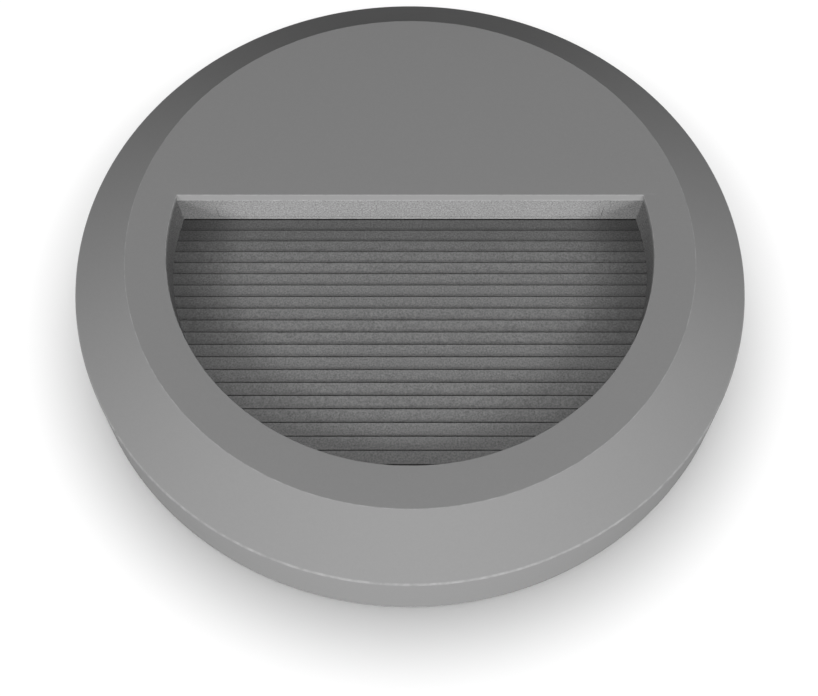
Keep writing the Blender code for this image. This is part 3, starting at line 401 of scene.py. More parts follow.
def grained(name, look):
    # paint, plastic, rubber or board: grain, then lighter edges (wear, and a painted highlight on the casting's
    # paint), then dust
    colour = (*look["colour"], 1)
    material, tree, shader = newMaterial(name, specular=look.get("specular", 0.5))
    skin = layered(tree, None, None, grainGroup, {
        "Colour": colour, "Grain Scale": look["grainScale"], "Grain Strength": look["grain"],
        "Patch Scale": look.get("patchScale", 60), "Patch Strength": look.get("patch", 0.03),
        "Roughness": look["roughness"], "Roughness Spread": look.get("spread", 0.15),
    })
    wearAndHighlightColour = tuple(min(1, part * look.get("rubLift", 1.3)) for part in look["colour"])
    wornAndLit = layered(tree, skin["Colour"], skin["Roughness"], wearAndHighlightGroup, {
        "Rubbed And Highlight Colour": (*wearAndHighlightColour, 1), "Rubbed Roughness": look["roughness"] * 0.75,
        "Amount": look.get("rub", 0.3), "Break Scale": look.get("breakScale", 500),
    })
    dusty = layered(tree, wornAndLit["Colour"], wornAndLit["Roughness"], dustGroup, {
        "Amount": look.get("dust", 0.04), "Speck Scale": look.get("speckScale", 900),
    })
    tree.links.new(dusty["Colour"], shader.inputs["Base Color"])
    tree.links.new(dusty["Roughness"], shader.inputs["Roughness"])
    bumped(tree, shader, skin["Height"], look.get("bump", 0.2), look.get("depth", 0.00005))
    return material


def withCornerShade(material, values):
    # puts the painted shade between a paint's layers and its shader
    tree = material.node_tree
    base = tree.nodes["Principled BSDF"].inputs["Base Color"]
    made = put(tree, "ShaderNodeGroup", node_tree=cornerShadeGroup)
    for key, value in values.items():
        made.inputs[key].default_value = value
    tree.links.new(base.links[0].from_socket, made.inputs["Colour"])
    tree.links.new(made.outputs["Colour"], base)


def metallic(name, look):
    material, tree, shader = newMaterial(name, metallic=1.0)
    skin = layered(tree, None, None, streakGroup, {
        "Colour": (*look["colour"], 1), "Stretch": look["stretch"],
        "Streak Scale": look["streakScale"], "Streak Strength": look["streak"],
        "Cloud Scale": look["cloudScale"], "Cloud Strength": look["cloud"],
        "Roughness": look["roughness"],
    })
    wearAndHighlightColour = tuple(min(1, part * 1.2) for part in look["colour"])
    wornAndLit = layered(tree, skin["Colour"], skin["Roughness"], wearAndHighlightGroup, {
        "Rubbed And Highlight Colour": (*wearAndHighlightColour, 1), "Rubbed Roughness": look["roughness"] * 0.6,
        "Amount": look.get("rub", 0.5), "Break Scale": 700,
    })
    tree.links.new(wornAndLit["Colour"], shader.inputs["Base Color"])
    tree.links.new(wornAndLit["Roughness"], shader.inputs["Roughness"])
    bumped(tree, shader, skin["Height"], look.get("bump", 0.15), 0.00003)
    return material


paintLook = {
    # the light edge colour of the outside and recess paints is a painted highlight along rounded edges such as
    # the shoulder and the rim of the recess
    "outside": dict(colour=(0.2, 0.2, 0.2), roughness=0.5, grainScale=2600, grain=0.03, patch=0.012,
                    patchScale=35, rub=0.8, rubLift=1.4, bump=0.12, dust=0.015, specular=0.004),
    # the recess and round-wall greys are darker than the outside grey of the same casting: painted shade
    "recess": dict(colour=(0.15, 0.15, 0.15), roughness=0.6, grainScale=3300, grain=0.7, patch=0.06,
                   patchScale=90, rub=0.4, rubLift=1.2, bump=0.8, depth=0.00006, dust=0.02, specular=0.01),
    "wall": dict(colour=(0.222, 0.222, 0.222), roughness=0.6, grainScale=3300, grain=0.9, patch=0.06,
                 patchScale=90, rub=0.4, rubLift=1.2, bump=0.9, depth=0.00006, dust=0.02, specular=0.01),
    "roundWall": dict(colour=(0.16, 0.16, 0.16), roughness=0.6, grainScale=3300, grain=0.9, patch=0.06,
                      patchScale=90, rub=0.5, rubLift=1.3, bump=0.9, depth=0.00006, dust=0.02, specular=0.01),
    # a near-black copy of the recess paint for the grooves and the foot of the straight wall: painted shade
    "groove": dict(colour=(0.022, 0.022, 0.022), roughness=0.8, grainScale=3300, grain=0.8, patch=0.15,
                   patchScale=120, rub=0.1, bump=0.8, depth=0.00006, dust=0.03, specular=0.01),
}
frostLook = dict(colour=(0.222, 0.222, 0.222), roughness=0.55, grainScale=3300, grain=0.9, patch=0.05,
                 patchScale=90, rub=0.2, bump=0.9, depth=0.00006, dust=0.01, specular=0.01)
outsidePaint = grained("powderCoat", paintLook["outside"])
# darker copies of the casting's paint inside the recess: painted shade
recessShadedPaint = grained("texturedPowderCoatShaded", paintLook["recess"])
wallPaint = grained("wallPowderCoat", paintLook["wall"])
roundWallShadedPaint = grained("roundWallPowderCoatShaded", paintLook["roundWall"])
grooveShadePaint = grained("groovePaintedShade", paintLook["groove"])
frosted = grained("frostedPolycarbonate", frostLook)
siliconeRubber = grained("greySilicone", dict(
    colour=(0.06, 0.06, 0.06), roughness=0.65, grainScale=2500, grain=0.1, patch=0.06, rub=0.15,
    rubLift=1.5, bump=0.15, dust=0.12, specular=0.3))
whiteMask = grained("whiteSolderMask", dict(
    colour=(0.78, 0.78, 0.76), roughness=0.38, grainScale=1800, grain=0.03, patch=0.03, rub=0.2,
    rubLift=0.8, bump=0.08))
greenMask = grained("greenSolderMask", dict(
    colour=(0.03, 0.19, 0.08), roughness=0.35, grainScale=1500, grain=0.2, patch=0.15, patchScale=260,
    rub=0.4, rubLift=1.8, bump=0.12))
boardEdge = grained("boardLaminate", dict(
    colour=(0.42, 0.38, 0.22), roughness=0.7, grainScale=5200, grain=0.3, patch=0.1, rub=0.1, bump=0.4))
phosphor = grained("ledPhosphor", dict(
    colour=(0.86, 0.66, 0.12), roughness=0.45, grainScale=6000, grain=0.2, patch=0.06, rub=0.0, bump=0.2))
whiteResin = grained("whiteResin", dict(
    colour=(0.76, 0.76, 0.73), roughness=0.42, grainScale=2200, grain=0.04, patch=0.05, rub=0.25,
    rubLift=1.15, bump=0.15, dust=0.05))
blackResin = grained("blackResin", dict(
    colour=(0.022, 0.022, 0.023), roughness=0.5, grainScale=2600, grain=0.25, patch=0.1, rub=0.4,
    rubLift=2.2, bump=0.25, dust=0.06))
blueEpoxy = grained("blueEpoxy", dict(
    colour=(0.04, 0.11, 0.4), roughness=0.3, grainScale=900, grain=0.08, patch=0.15, rub=0.3, bump=0.2))
ferriteBlack = grained("ferriteCore", dict(
    colour=(0.06, 0.055, 0.05), roughness=0.65, grainScale=4200, grain=0.4, patch=0.1, rub=0.5,
    rubLift=2.4, bump=0.4))
filmSheet = grained("insulatingFilm", dict(
    colour=(0.74, 0.72, 0.63), roughness=0.45, grainScale=900, grain=0.03, patch=0.05, rub=0.2, bump=0.06))
leadLook = dict(roughness=0.42, grainScale=1800, grain=0.05, patch=0.08, patchScale=140, rub=0.0, bump=0.1)
leadColours = dict(
    live_lead=(0.19, 0.075, 0.03), neutral_lead=(0.03, 0.1, 0.4), earth_lead=(0.11, 0.38, 0.06),
    led_lead_positive=(0.5, 0.03, 0.03), led_lead_negative=(0.022, 0.022, 0.022))
zincPlate = metallic("zincPlatedSteel", dict(
    colour=(0.47, 0.48, 0.5), stretch=(0.25, 1, 1), streakScale=900, streak=0.08, cloudScale=110,
    cloud=0.16, roughness=0.34))
screwSteel = metallic("zincPlatedScrew", dict(
    colour=(0.52, 0.53, 0.55), stretch=(1, 1, 0.3), streakScale=1600, streak=0.1, cloudScale=400,
    cloud=0.12, roughness=0.3))
rolledAluminium = metallic("rolledAluminium", dict(
    colour=(0.56, 0.57, 0.58), stretch=(0.06, 1, 1), streakScale=1400, streak=0.14, cloudScale=60,
    cloud=0.05, roughness=0.36))
cleanBrass = metallic("brass", dict(
    colour=(0.74, 0.57, 0.27), stretch=(1, 1, 1), streakScale=900, streak=0.1, cloudScale=300,
    cloud=0.15, roughness=0.32))
copperWire = metallic("enamelledCopper", dict(
    colour=(0.62, 0.25, 0.1), stretch=(1, 1, 1), streakScale=1200, streak=0.1, cloudScale=300,
    cloud=0.1, roughness=0.28))
tinned = metallic("tinnedMetal", dict(
    colour=(0.66, 0.66, 0.67), stretch=(1, 1, 1), streakScale=1500, streak=0.12, cloudScale=500,
    cloud=0.1, roughness=0.3))
print("materials ready")

# clearance that the solids keep to each other, and how far a cutter runs past what it cuts
gap, overrun = 0.0003, 0.002
housingLow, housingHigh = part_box("front_housing")
plateLow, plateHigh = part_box("back_plate")
plateSealLow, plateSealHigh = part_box("back_plate_seal")
windowLow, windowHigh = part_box("light_window")
windowSealLow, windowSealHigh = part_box("window_seal")
plateTop = plateSealLow.z - gap
faceZ = housingHigh.z


def middleOf(node):
    low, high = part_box(node)
    return (low + high) / 2


def coloured(thing, *materials):
    for material in materials:
        thing.data.materials.append(material)
    return thing


def geometryTree(name, inputs):
    tree = bpy.data.node_groups.new(name, "GeometryNodeTree")
    for label, kind in inputs:
        tree.interface.new_socket(name=label, in_out="INPUT", socket_type="NodeSocket" + kind)
    tree.interface.new_socket(name="Geometry", in_out="OUTPUT", socket_type="NodeSocketGeometry")
    return tree, tree.nodes.new("NodeGroupInput").outputs, tree.nodes.new("NodeGroupOutput").inputs


def endTree(tree, geometry, material, out, where=True):
    real = put(tree, "GeometryNodeRealizeInstances", {"Geometry": geometry}).outputs[0]
    painted = put(tree, "GeometryNodeSetMaterial", {"Geometry": real, "Material": material, "Selection": where})
    tree.links.new(painted.outputs[0], out["Geometry"])


def grown(name, tree, values, mesh=None):
    # the inputs are set by identifier before the tree is evaluated for the first time
    thing = linked(name, mesh or bpy.data.meshes.new(name))
    step = thing.modifiers.new("grow", "NODES")
    step.node_group = tree
    for item in tree.interface.items_tree:
        if item.in_out == "INPUT" and item.name in values:
            step[item.identifier] = values[item.name]
    return baked(thing)


casting = {
    "skirtDraft": 0.0013, "coneRun": 0.0105, "coneHeight": 0.006, "shoulderRound": 0.0006,
    "faceRound": 0.0003, "rimRound": 0.0003, "wall": 0.002, "ledgeWidth": 0.0025,
    "faceBorder": 0.0073, "recessCentreY": -0.00025, "chordBevel": 0.00075, "chordEase": 0.00008,
    "edgeRound": 0.00012, "recessWall": 0.002, "floorThickness": 0.0014, "windowSill": 0.0006,
    "windowLip": 0.0007, "bossRadius": 0.0032, "bossBore": 0.0015, "bossBoreTop": 0.0125,
    "postRadius": 0.0025, "postBore": 0.0011, "padWidth": 0.008, "spinSteps": 288,
    "arcSteps": 224, "roundSteps": 6,
}
ribs = {
    "pitch": 0.0025, "climb": 0.00025, "riser": 0.0009, "treadFall": 0.0003, "groove": 0.0003,
    "hollow": 0.00003, "crestRound": 0.00002, "crestShare": 0.04, "steps": 8, "crowding": 1.3,
}

wallY = windowLow.y
wallBackY = windowSealLow.y - gap
footZ = windowSealLow.z + casting["windowLip"] - casting["windowSill"]
slotLowZ = windowSealLow.z + casting["windowLip"]
slotHighZ = windowSealHigh.z - casting["windowLip"] + gap
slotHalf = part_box("led_board")[1].x
shoulderRadius = housingHigh.x - casting["skirtDraft"]
faceRadius = shoulderRadius - casting["coneRun"]
recessRadius = faceRadius - casting["faceBorder"]
shoulderZ = faceZ - casting["coneHeight"]
roofZ = faceZ - casting["wall"]
ribCount = math.ceil((wallY - casting["recessCentreY"] + recessRadius) / ribs["pitch"]) + 1


# painted shade near the walls of the recess; the window and the straight wall take only the part near the round
# wall
cornerShade = {
    "Centre Y": casting["recessCentreY"], "Radius": recessRadius, "Wall Place": wallY,
    "Round Reach": 0.013, "Straight Reach": 0.011, "Round Amount": 0.48, "Straight Amount": 0.42,
    "Unshaded Below": -0.038, "Shaded Above": -0.012,
}
withCornerShade(recessShadedPaint, cornerShade)
for finish in (wallPaint, frosted):
    withCornerShade(finish, {**cornerShade, "Round Amount": 0.36, "Straight Amount": 0.0})


def floorPlane(y):
    # height of the plane through the crests of the ribs
    return footZ + (wallY - y) * ribs["climb"] / ribs["pitch"]


def skirtRadius(z):
    return housingHigh.x - casting["skirtDraft"] * z / shoulderZ


def chordAt(z):
    # the straight wall leans back at 45 degrees near the face, eased at both ends
    ease, start = casting["chordEase"], faceZ - casting["chordBevel"]
    rise = max(0, z - start)
    if abs(z - start) < ease:
        rise = (z - start + ease) ** 2 / (4 * ease)
    flare = max(0, min(z, faceZ) - faceZ + ease) ** 2 / (2 * ease)
    return wallY + rise + flare


def buildComb():
    # the air over the ribbed floor: one closed saw-tooth outline, filled and run across the recess
    tree, given, out = geometryTree("ribComb", [
        ("Rib Count", "Int"), ("Pitch", "Float"), ("Climb", "Float"), ("Riser", "Float"),
        ("Tread Fall", "Float"), ("Groove", "Float"), ("Hollow", "Float"), ("Crest Round", "Float"),
        ("Crest Share", "Float"), ("Tread Steps", "Int"), ("Crowding", "Float"), ("Wall Place", "Float"),
        ("Foot Height", "Float"), ("Roof Height", "Float"), ("Overrun", "Float"),
        ("Half Width", "Float"), ("Paint", "Material"), ("Groove Shade Paint", "Material"),
    ])
    # each rib has the points of its tread and then the bottom of its groove; the wall has a groove only
    perRib = sumOf(tree, "ADD", given["Tread Steps"], 2.0)
    grooveStep = sumOf(tree, "SUBTRACT", perRib, 1.0)
    onFloor = sumOf(tree, "MULTIPLY", sumOf(tree, "ADD", given["Rib Count"], 1.0), perRib)
    step = sumOf(tree, "ADD", put(tree, "GeometryNodeInputIndex").outputs[0],
                 sumOf(tree, "SUBTRACT", grooveStep, 1.0))
    kept = sumOf(tree, "MINIMUM", sumOf(tree, "MAXIMUM", step, grooveStep), sumOf(tree, "SUBTRACT", onFloor, 1.0))
    turn = sumOf(tree, "FLOOR", sumOf(tree, "DIVIDE", sumOf(tree, "ADD", kept, 0.5), perRib))
    within = sumOf(tree, "SUBTRACT", kept, sumOf(tree, "MULTIPLY", turn, perRib))
    rib = sumOf(tree, "SUBTRACT", turn, 1.0)
    inGroove = sumOf(tree, "GREATER_THAN", within, sumOf(tree, "SUBTRACT", grooveStep, 0.5))
    even = sumOf(tree, "MINIMUM", sumOf(tree, "DIVIDE", within, given["Tread Steps"]), 1.0)
    share = sumOf(tree, "POWER", even, given["Crowding"])
    treadRun = sumOf(tree, "SUBTRACT", given["Pitch"], given["Groove"])
    run = put(tree, "ShaderNodeMix", {
        0: inGroove, 2: sumOf(tree, "MULTIPLY", share, treadRun), 3: given["Pitch"]}).outputs[0]
    along = sumOf(tree, "ADD", sumOf(tree, "MULTIPLY_ADD", rib, given["Pitch"], run), given["Groove"])
    floorY = sumOf(tree, "SUBTRACT", given["Wall Place"], along)
    slope = sumOf(tree, "MULTIPLY", sumOf(tree, "DIVIDE", given["Climb"], given["Pitch"]), run)
    crest = sumOf(tree, "ADD", sumOf(tree, "MULTIPLY_ADD", rib, given["Climb"], given["Foot Height"]), slope)
    bow = sumOf(tree, "MULTIPLY", share, sumOf(tree, "SUBTRACT", 1.0, share))
    dip = sumOf(tree, "MULTIPLY", sumOf(tree, "MULTIPLY", bow, given["Hollow"]), 4.0)
    near = sumOf(tree, "MAXIMUM", sumOf(
        tree, "SUBTRACT", 1.0, sumOf(tree, "DIVIDE", share, given["Crest Share"])), 0.0)
    soft = sumOf(tree, "MULTIPLY", sumOf(tree, "MULTIPLY", near, near), given["Crest Round"])
    treadDrop = sumOf(tree, "ADD", sumOf(tree, "MULTIPLY_ADD", share, given["Tread Fall"], dip), soft)
    drop = put(tree, "ShaderNodeMix", {0: inGroove, 2: treadDrop, 3: given["Riser"]}).outputs[0]
    floorZ = sumOf(tree, "SUBTRACT", crest, drop)
    behind = sumOf(tree, "MAXIMUM", sumOf(tree, "LESS_THAN", step, sumOf(tree, "SUBTRACT", grooveStep, 0.5)),
                   sumOf(tree, "GREATER_THAN", step, sumOf(tree, "ADD", onFloor, 0.5)))
    above = sumOf(tree, "GREATER_THAN", step, sumOf(tree, "SUBTRACT", onFloor, 0.5))
    backY = sumOf(tree, "ADD", given["Wall Place"], given["Overrun"])
    placeY = put(tree, "ShaderNodeMix", {0: behind, 2: floorY, 3: backY}).outputs[0]
    placeZ = put(tree, "ShaderNodeMix", {0: above, 2: floorZ, 3: given["Roof Height"]}).outputs[0]
    needed = sumOf(tree, "SUBTRACT", sumOf(tree, "ADD", onFloor, 3.0), grooveStep)
    count = put(tree, "FunctionNodeFloatToInt", {0: needed}).outputs[0]
    line = put(tree, "GeometryNodeMeshLine", {"Count": count}).outputs[0]
    spot = put(tree, "ShaderNodeCombineXYZ", {"X": placeY, "Y": placeZ}).outputs[0]
    drawn = put(tree, "GeometryNodeSetPosition", {"Geometry": line, "Position": spot}).outputs[0]
    curve = put(tree, "GeometryNodeMeshToCurve", {"Mesh": drawn}).outputs[0]
    loop = put(tree, "GeometryNodeSetSplineCyclic", {"Geometry": curve, "Cyclic": True}).outputs[0]
    flat = put(tree, "GeometryNodeFillCurve", {"Curve": loop}, mode="NGONS").outputs[0]
    width = sumOf(tree, "MULTIPLY", given["Half Width"], 2.0)
    push = put(tree, "ShaderNodeCombineXYZ", {"Z": width}).outputs[0]
    run = put(tree, "GeometryNodeExtrudeMesh", {"Mesh": flat, "Offset": push, "Offset Scale": 1.0})
    base = put(tree, "GeometryNodeFlipFaces", {"Mesh": flat}).outputs[0]
    both = put(tree, "GeometryNodeJoinGeometry")
    tree.links.new(run.outputs[0], both.inputs[0])
    tree.links.new(base, both.inputs[0])
    closed = put(tree, "GeometryNodeMergeByDistance", {"Geometry": both.outputs[0], "Distance": 0.000001})
    here = put(tree, "ShaderNodeSeparateXYZ", {0: put(tree, "GeometryNodeInputPosition").outputs[0]}).outputs
    across = sumOf(tree, "SUBTRACT", here["Z"], given["Half Width"])
    turned = put(tree, "ShaderNodeCombineXYZ", {"X": across, "Y": here["X"], "Z": here["Y"]}).outputs[0]
    laid = put(tree, "GeometryNodeSetPosition", {"Geometry": closed.outputs[0], "Position": turned}).outputs[0]
    painted = put(tree, "GeometryNodeSetMaterial", {"Geometry": laid, "Material": given["Paint"]}).outputs[0]
    # painted shade: the groove paint goes on what lies deeper than the treads
    spot = put(tree, "ShaderNodeSeparateXYZ", {0: put(tree, "GeometryNodeInputPosition").outputs[0]}).outputs
    away = sumOf(tree, "SUBTRACT", given["Wall Place"], spot["Y"])
    plane = sumOf(tree, "MULTIPLY_ADD", away, sumOf(tree, "DIVIDE", given["Climb"], given["Pitch"]),
                  given["Foot Height"])
    deep = sumOf(tree, "GREATER_THAN", sumOf(tree, "SUBTRACT", plane, spot["Z"]),
                 sumOf(tree, "MULTIPLY", given["Tread Fall"], 1.25))
    endTree(tree, painted, given["Groove Shade Paint"], out, deep)
    return tree


def recessAir():
    # D-shaped outlines, one above another, rounded over where they meet the face
    centreY, edge = casting["recessCentreY"], casting["edgeRound"]
    bevelStart, ease = faceZ - casting["chordBevel"], casting["chordEase"]
    quarter = [math.pi / 2 * k / casting["roundSteps"] for k in range(casting["roundSteps"] + 1)]
    levels = [(faceZ + overrun, edge)]
    levels += [(faceZ - edge + edge * math.cos(t), edge * (1 - math.sin(t))) for t in quarter]
    levels += [(bevelStart + ease * side, 0) for side in (1, 0.5, 0, -0.5, -1)]
    levels += [(footZ, 0), (0, 0)]
    shape = bmesh.new()
    rows = []
    for z, offset in levels:
        radius, chordY = recessRadius + offset, chordAt(z)
        lift = math.asin((chordY - centreY) / radius)
        row = []
        for k in range(casting["arcSteps"] + 1):
            turn = lift - (math.pi + 2 * lift) * k / casting["arcSteps"]
            x, y = radius * math.cos(turn), centreY + radius * math.sin(turn)
            low = floorPlane(y) - ribs["riser"] - casting["floorThickness"] / 2
            # the floor climbs past the foot of the straight wall, so no row goes under it
            row.append(shape.verts.new((x, y, max(z, low + gap) if z else low)))
        rows.append(row)
    for upper, lower in zip(rows, rows[1:]):
        for k in range(len(upper)):
            face = shape.faces.new((upper[k - 1], lower[k - 1], lower[k], upper[k]))
            onBevel = min(vert.co.z for vert in lower) > bevelStart
            # faces of the straight wall below the foot of the ribs take the groove's painted shade
            onWall = 3 if upper[k].co.z < footZ + gap else 2
            face.material_index = 1 if onBevel else onWall if k == 0 else 4
    shape.faces.new(rows[0])
    shape.faces.new(rows[-1])
    air = coloured(fromShape("recessAir", shape), recessShadedPaint, outsidePaint, wallPaint, grooveShadePaint,
                   roundWallShadedPaint)
    comb = grown("combAir", buildComb(), {
        "Rib Count": ribCount, "Pitch": ribs["pitch"], "Climb": ribs["climb"], "Riser": ribs["riser"],
        "Tread Fall": ribs["treadFall"], "Groove": ribs["groove"], "Hollow": ribs["hollow"],
        "Crest Round": ribs["crestRound"], "Crest Share": ribs["crestShare"],
        "Tread Steps": ribs["steps"], "Crowding": ribs["crowding"], "Wall Place": wallY,
        "Foot Height": footZ, "Roof Height": faceZ + 2 * overrun, "Overrun": overrun,
        "Half Width": recessRadius + overrun, "Paint": recessShadedPaint, "Groove Shade Paint": grooveShadePaint,
    })
    return carved(air, [comb], "INTERSECT", "TRANSFER")


def recessShell():
    # the solid round the recess, which stands into the hollow of the casting
    under = ribs["riser"] + casting["floorThickness"]
    radius = recessRadius + casting["recessWall"]
    centreY = casting["recessCentreY"]
    lift = math.asin((wallBackY - centreY) / radius)
    shape = bmesh.new()
    rows = [[], []]
    for k in range(casting["arcSteps"] + 1):
        turn = lift - (math.pi + 2 * lift) * k / casting["arcSteps"]
        x, y = radius * math.cos(turn), centreY + radius * math.sin(turn)
        rows[0].append(shape.verts.new((x, y, faceZ)))
        rows[1].append(shape.verts.new((x, y, floorPlane(y) - under)))
    for k in range(len(rows[0])):
        shape.faces.new((rows[0][k - 1], rows[1][k - 1], rows[1][k], rows[0][k]))
    shape.faces.new(rows[0])
    shape.faces.new(rows[1])
    return fromShape("recessShell", shape)


def hollowAir():
    lean = casting["coneRun"] / casting["coneHeight"]
    drop = casting["wall"] * math.sqrt(1 + lean * lean) / lean
    ledgeOuter = plateHigh.x + gap
    ledgeInner = ledgeOuter - casting["ledgeWidth"]
    ledgeZ = plateSealHigh.z + gap
    outline = [
        (0, roofZ), (faceRadius + (faceZ - drop - roofZ) * lean, roofZ),
        (ledgeInner, faceZ - drop - (ledgeInner - faceRadius) / lean), (ledgeInner, ledgeZ),
        (ledgeOuter, ledgeZ), (skirtRadius(-overrun) - casting["wall"], -overrun), (0, -overrun),
    ]
    hollow = spun("hollowAir", outline, casting["spinSteps"])
    standing = [recessShell()]
    for number in range(1, 5):
        x, y, z = middleOf(f"back_plate_screw_{number}")
        standing.append(rod("boss", casting["bossRadius"], (x, y, plateTop + gap), (x, y, faceZ)))
    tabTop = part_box("earth_tag")[1].z + gap
    for node in ("carrier_screw_left", "carrier_screw_right", "earth_screw"):
        x, y, z = middleOf(node)
        standing.append(rod("post", casting["postRadius"], (x, y, tabTop), (x, y, faceZ)))
    for side, node in ((-1, "grub_screw_left"), (1, "grub_screw_right")):
        inner = min(abs(corner.x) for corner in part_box(node)) + gap
        lowX, highX = sorted((side * inner, side * housingHigh.x))
        half = casting["padWidth"] / 2
        standing.append(block("pad", (lowX, -half, 0), (highX, half, plateLow.z - gap)))
    return coloured(carved(hollow, standing), outsidePaint)


def housingCutters():
    half, tools = slotHalf, []
    slot = block("slot", (-half, wallY - overrun, slotLowZ), (half, wallBackY + overrun, slotHighZ))
    tools.append(coloured(slot, recessShadedPaint))
    for number in range(1, 5):
        x, y, z = middleOf(f"back_plate_screw_{number}")
        ends = (x, y, plateTop - overrun), (x, y, casting["bossBoreTop"])
        tools.append(coloured(rod("bore", casting["bossBore"], *ends), outsidePaint))
    for node in ("carrier_screw_left", "carrier_screw_right", "earth_screw"):
        low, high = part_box(node)
        x, y, z = (low + high) / 2
        ends = (x, y, low.z), (x, y, high.z + gap)
        tools.append(coloured(rod("bore", casting["postBore"], *ends), outsidePaint))
    for side, node in ((-1, "grub_screw_left"), (1, "grub_screw_right")):
        low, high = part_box(node)
        x, y, z = (low + high) / 2
        radius = (high.z - low.z) / 2 + gap
        inner = abs(x) - (high.x - low.x) / 2 - overrun
        ends = (side * inner, y, z), (side * (housingHigh.x + overrun), y, z)
        tools.append(coloured(rod("bore", radius, *ends), outsidePaint))
    return tools


def castHousing():
    steps = casting["roundSteps"]
    centre, rim = (0, faceZ), (housingHigh.x, 0)
    faceEdge, shoulder = (faceRadius, faceZ), (shoulderRadius, shoulderZ)
    outline = [centre]
    outline += roundOver(centre, faceEdge, shoulder, casting["faceRound"], steps)
    outline += roundOver(faceEdge, shoulder, rim, casting["shoulderRound"], steps)
    outline += roundOver(shoulder, rim, (0, 0), casting["rimRound"], steps)
    outline.append((0, 0))
    body = coloured(spun("castHousing", outline, casting["spinSteps"]), outsidePaint)
    for cutter in [hollowAir(), recessAir()] + housingCutters():
        step = body.modifiers.new("cut", "BOOLEAN")
        step.solver = "EXACT"
        step.material_mode = "TRANSFER"
        step.object = cutter
    cutters = [step.object for step in body.modifiers]
    baked(body)
    for cutter in cutters:
        bpy.data.objects.remove(cutter)
    return finished(welded(body), "lamp", ["front_housing"], sharp=33)


def diffuserWindow():
    slack = 0.00002
    nose = block("lightWindow", (-slotHalf + slack, wallY, slotLowZ + slack),
                 (slotHalf - slack, windowHigh.y - gap, slotHighZ - slack))
    flangeFront = windowSealHigh.y + gap
    flange = block("flange", (windowLow.x, flangeFront, windowLow.z), windowHigh)
    carved(nose, [flange], "UNION")
    step = nose.modifiers.new("round", "BEVEL")
    step.width, step.segments, step.limit_method = 0.00008, 3, "ANGLE"
    baked(nose)
    coloured(nose, frosted)
    return finished(nose, "lamp", ["light_window"])


castHousing()
diffuserWindow()
print("casting and window ready")

def rounded(thing, width, segments=3, angle=40):
    step = thing.modifiers.new("round", "BEVEL")
    step.width, step.segments, step.limit_method = width, segments, "ANGLE"
    step.angle_limit = math.radians(angle)
    return baked(thing)


def framed(name, node):
    # a node's own shape as one closed mesh, without the triangles of its flat faces
    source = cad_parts[node]
    shape = bmesh.new()
    spots = [shape.verts.new(source.matrix_world @ vert.co) for vert in source.data.vertices]
    for face in source.data.polygons:
        shape.faces.new([spots[index] for index in face.vertices])
    bmesh.ops.remove_doubles(shape, verts=shape.verts, dist=0.000001)
    bmesh.ops.dissolve_limit(shape, angle_limit=math.radians(0.5), verts=shape.verts, edges=shape.edges)
    return fromShape(name, shape)


def paintedBy(thing, test):
    # faces for which the test holds take the second material
    for face in thing.data.polygons:
        face.material_index = 1 if test(face) else 0
    return thing


def laid(thing, place, direction):
    # moves a shape that was built along +Z from the origin
    turn = Vector(direction).to_track_quat("Z", "Y").to_matrix().to_4x4()
    thing.data.transform(Matrix.Translation(place) @ turn)
    return thing


def prism(name, outline, low, high):
    # an outline in Y and Z, run along X
    shape = bmesh.new()
    ends = [[shape.verts.new((x, y, z)) for y, z in outline] for x in (low, high)]
    for k in range(len(outline)):
        shape.faces.new((ends[0][k - 1], ends[1][k - 1], ends[1][k], ends[0][k]))
    for end in ends:
        shape.faces.new(end)
    return fromShape(name, shape)


def softLoop(corners, radius, steps=4):
    loop = []
    for k, corner in enumerate(corners):
        loop += roundOver(corners[k - 1], corner, corners[(k + 1) % len(corners)], radius, steps)
    return loop


def threadRows(radius, start, end, pitch, perTurn=6):
    # (radius, height, share of the thread's depth), fading in and out over half a turn
    count = round((end - start) / pitch * perTurn)
    rows = []
    for k in range(count + 1):
        z = start + (end - start) * k / count
        rows.append((radius, z, min(1, 2 * (z - start) / pitch, 2 * (end - z) / pitch)))
    return rows


def threaded(name, rows, pitch, depth, steps=24):
    shape = bmesh.new()
    rings = []
    for radius, z, share in rows:
        ring = []
        for k in range(steps):
            wave = abs(2 * ((z / pitch - k / steps) % 1) - 1)
            reach, turn = radius - depth * share * wave, 2 * math.pi * k / steps
            ring.append(shape.verts.new((reach * math.cos(turn), reach * math.sin(turn), z)))
        rings.append(ring)
    for lower, upper in zip(rings, rings[1:]):
        for k in range(steps):
            shape.faces.new((lower[k - 1], upper[k - 1], upper[k], lower[k]))
    shape.faces.new(rings[0])
    shape.faces.new(rings[-1])
    return fromShape(name, shape)


def buildCopies():
    # sets a part on every point, each one spun a little further about its own axis
    tree, given, out = geometryTree("placedCopies", [
        ("Points", "Geometry"), ("Part", "Object"), ("Turn", "Vector"), ("Spin", "Float"),
        ("Finish", "Material"),
    ])
    shape = put(tree, "GeometryNodeObjectInfo", {"Object": given["Part"]}).outputs["Geometry"]
    turn = put(tree, "FunctionNodeEulerToRotation", {0: given["Turn"]}).outputs[0]
    copies = put(tree, "GeometryNodeInstanceOnPoints", {
        "Points": given["Points"], "Instance": shape, "Rotation": turn}).outputs[0]
    further = sumOf(tree, "MULTIPLY", put(tree, "GeometryNodeInputIndex").outputs[0], given["Spin"])
    about = put(tree, "ShaderNodeCombineXYZ", {"Z": further}).outputs[0]
    spin = put(tree, "FunctionNodeEulerToRotation", {0: about}).outputs[0]
    spunRound = put(tree, "GeometryNodeRotateInstances", {"Instances": copies, "Rotation": spin})
    endTree(tree, spunRound.outputs[0], given["Finish"], out)
    return tree


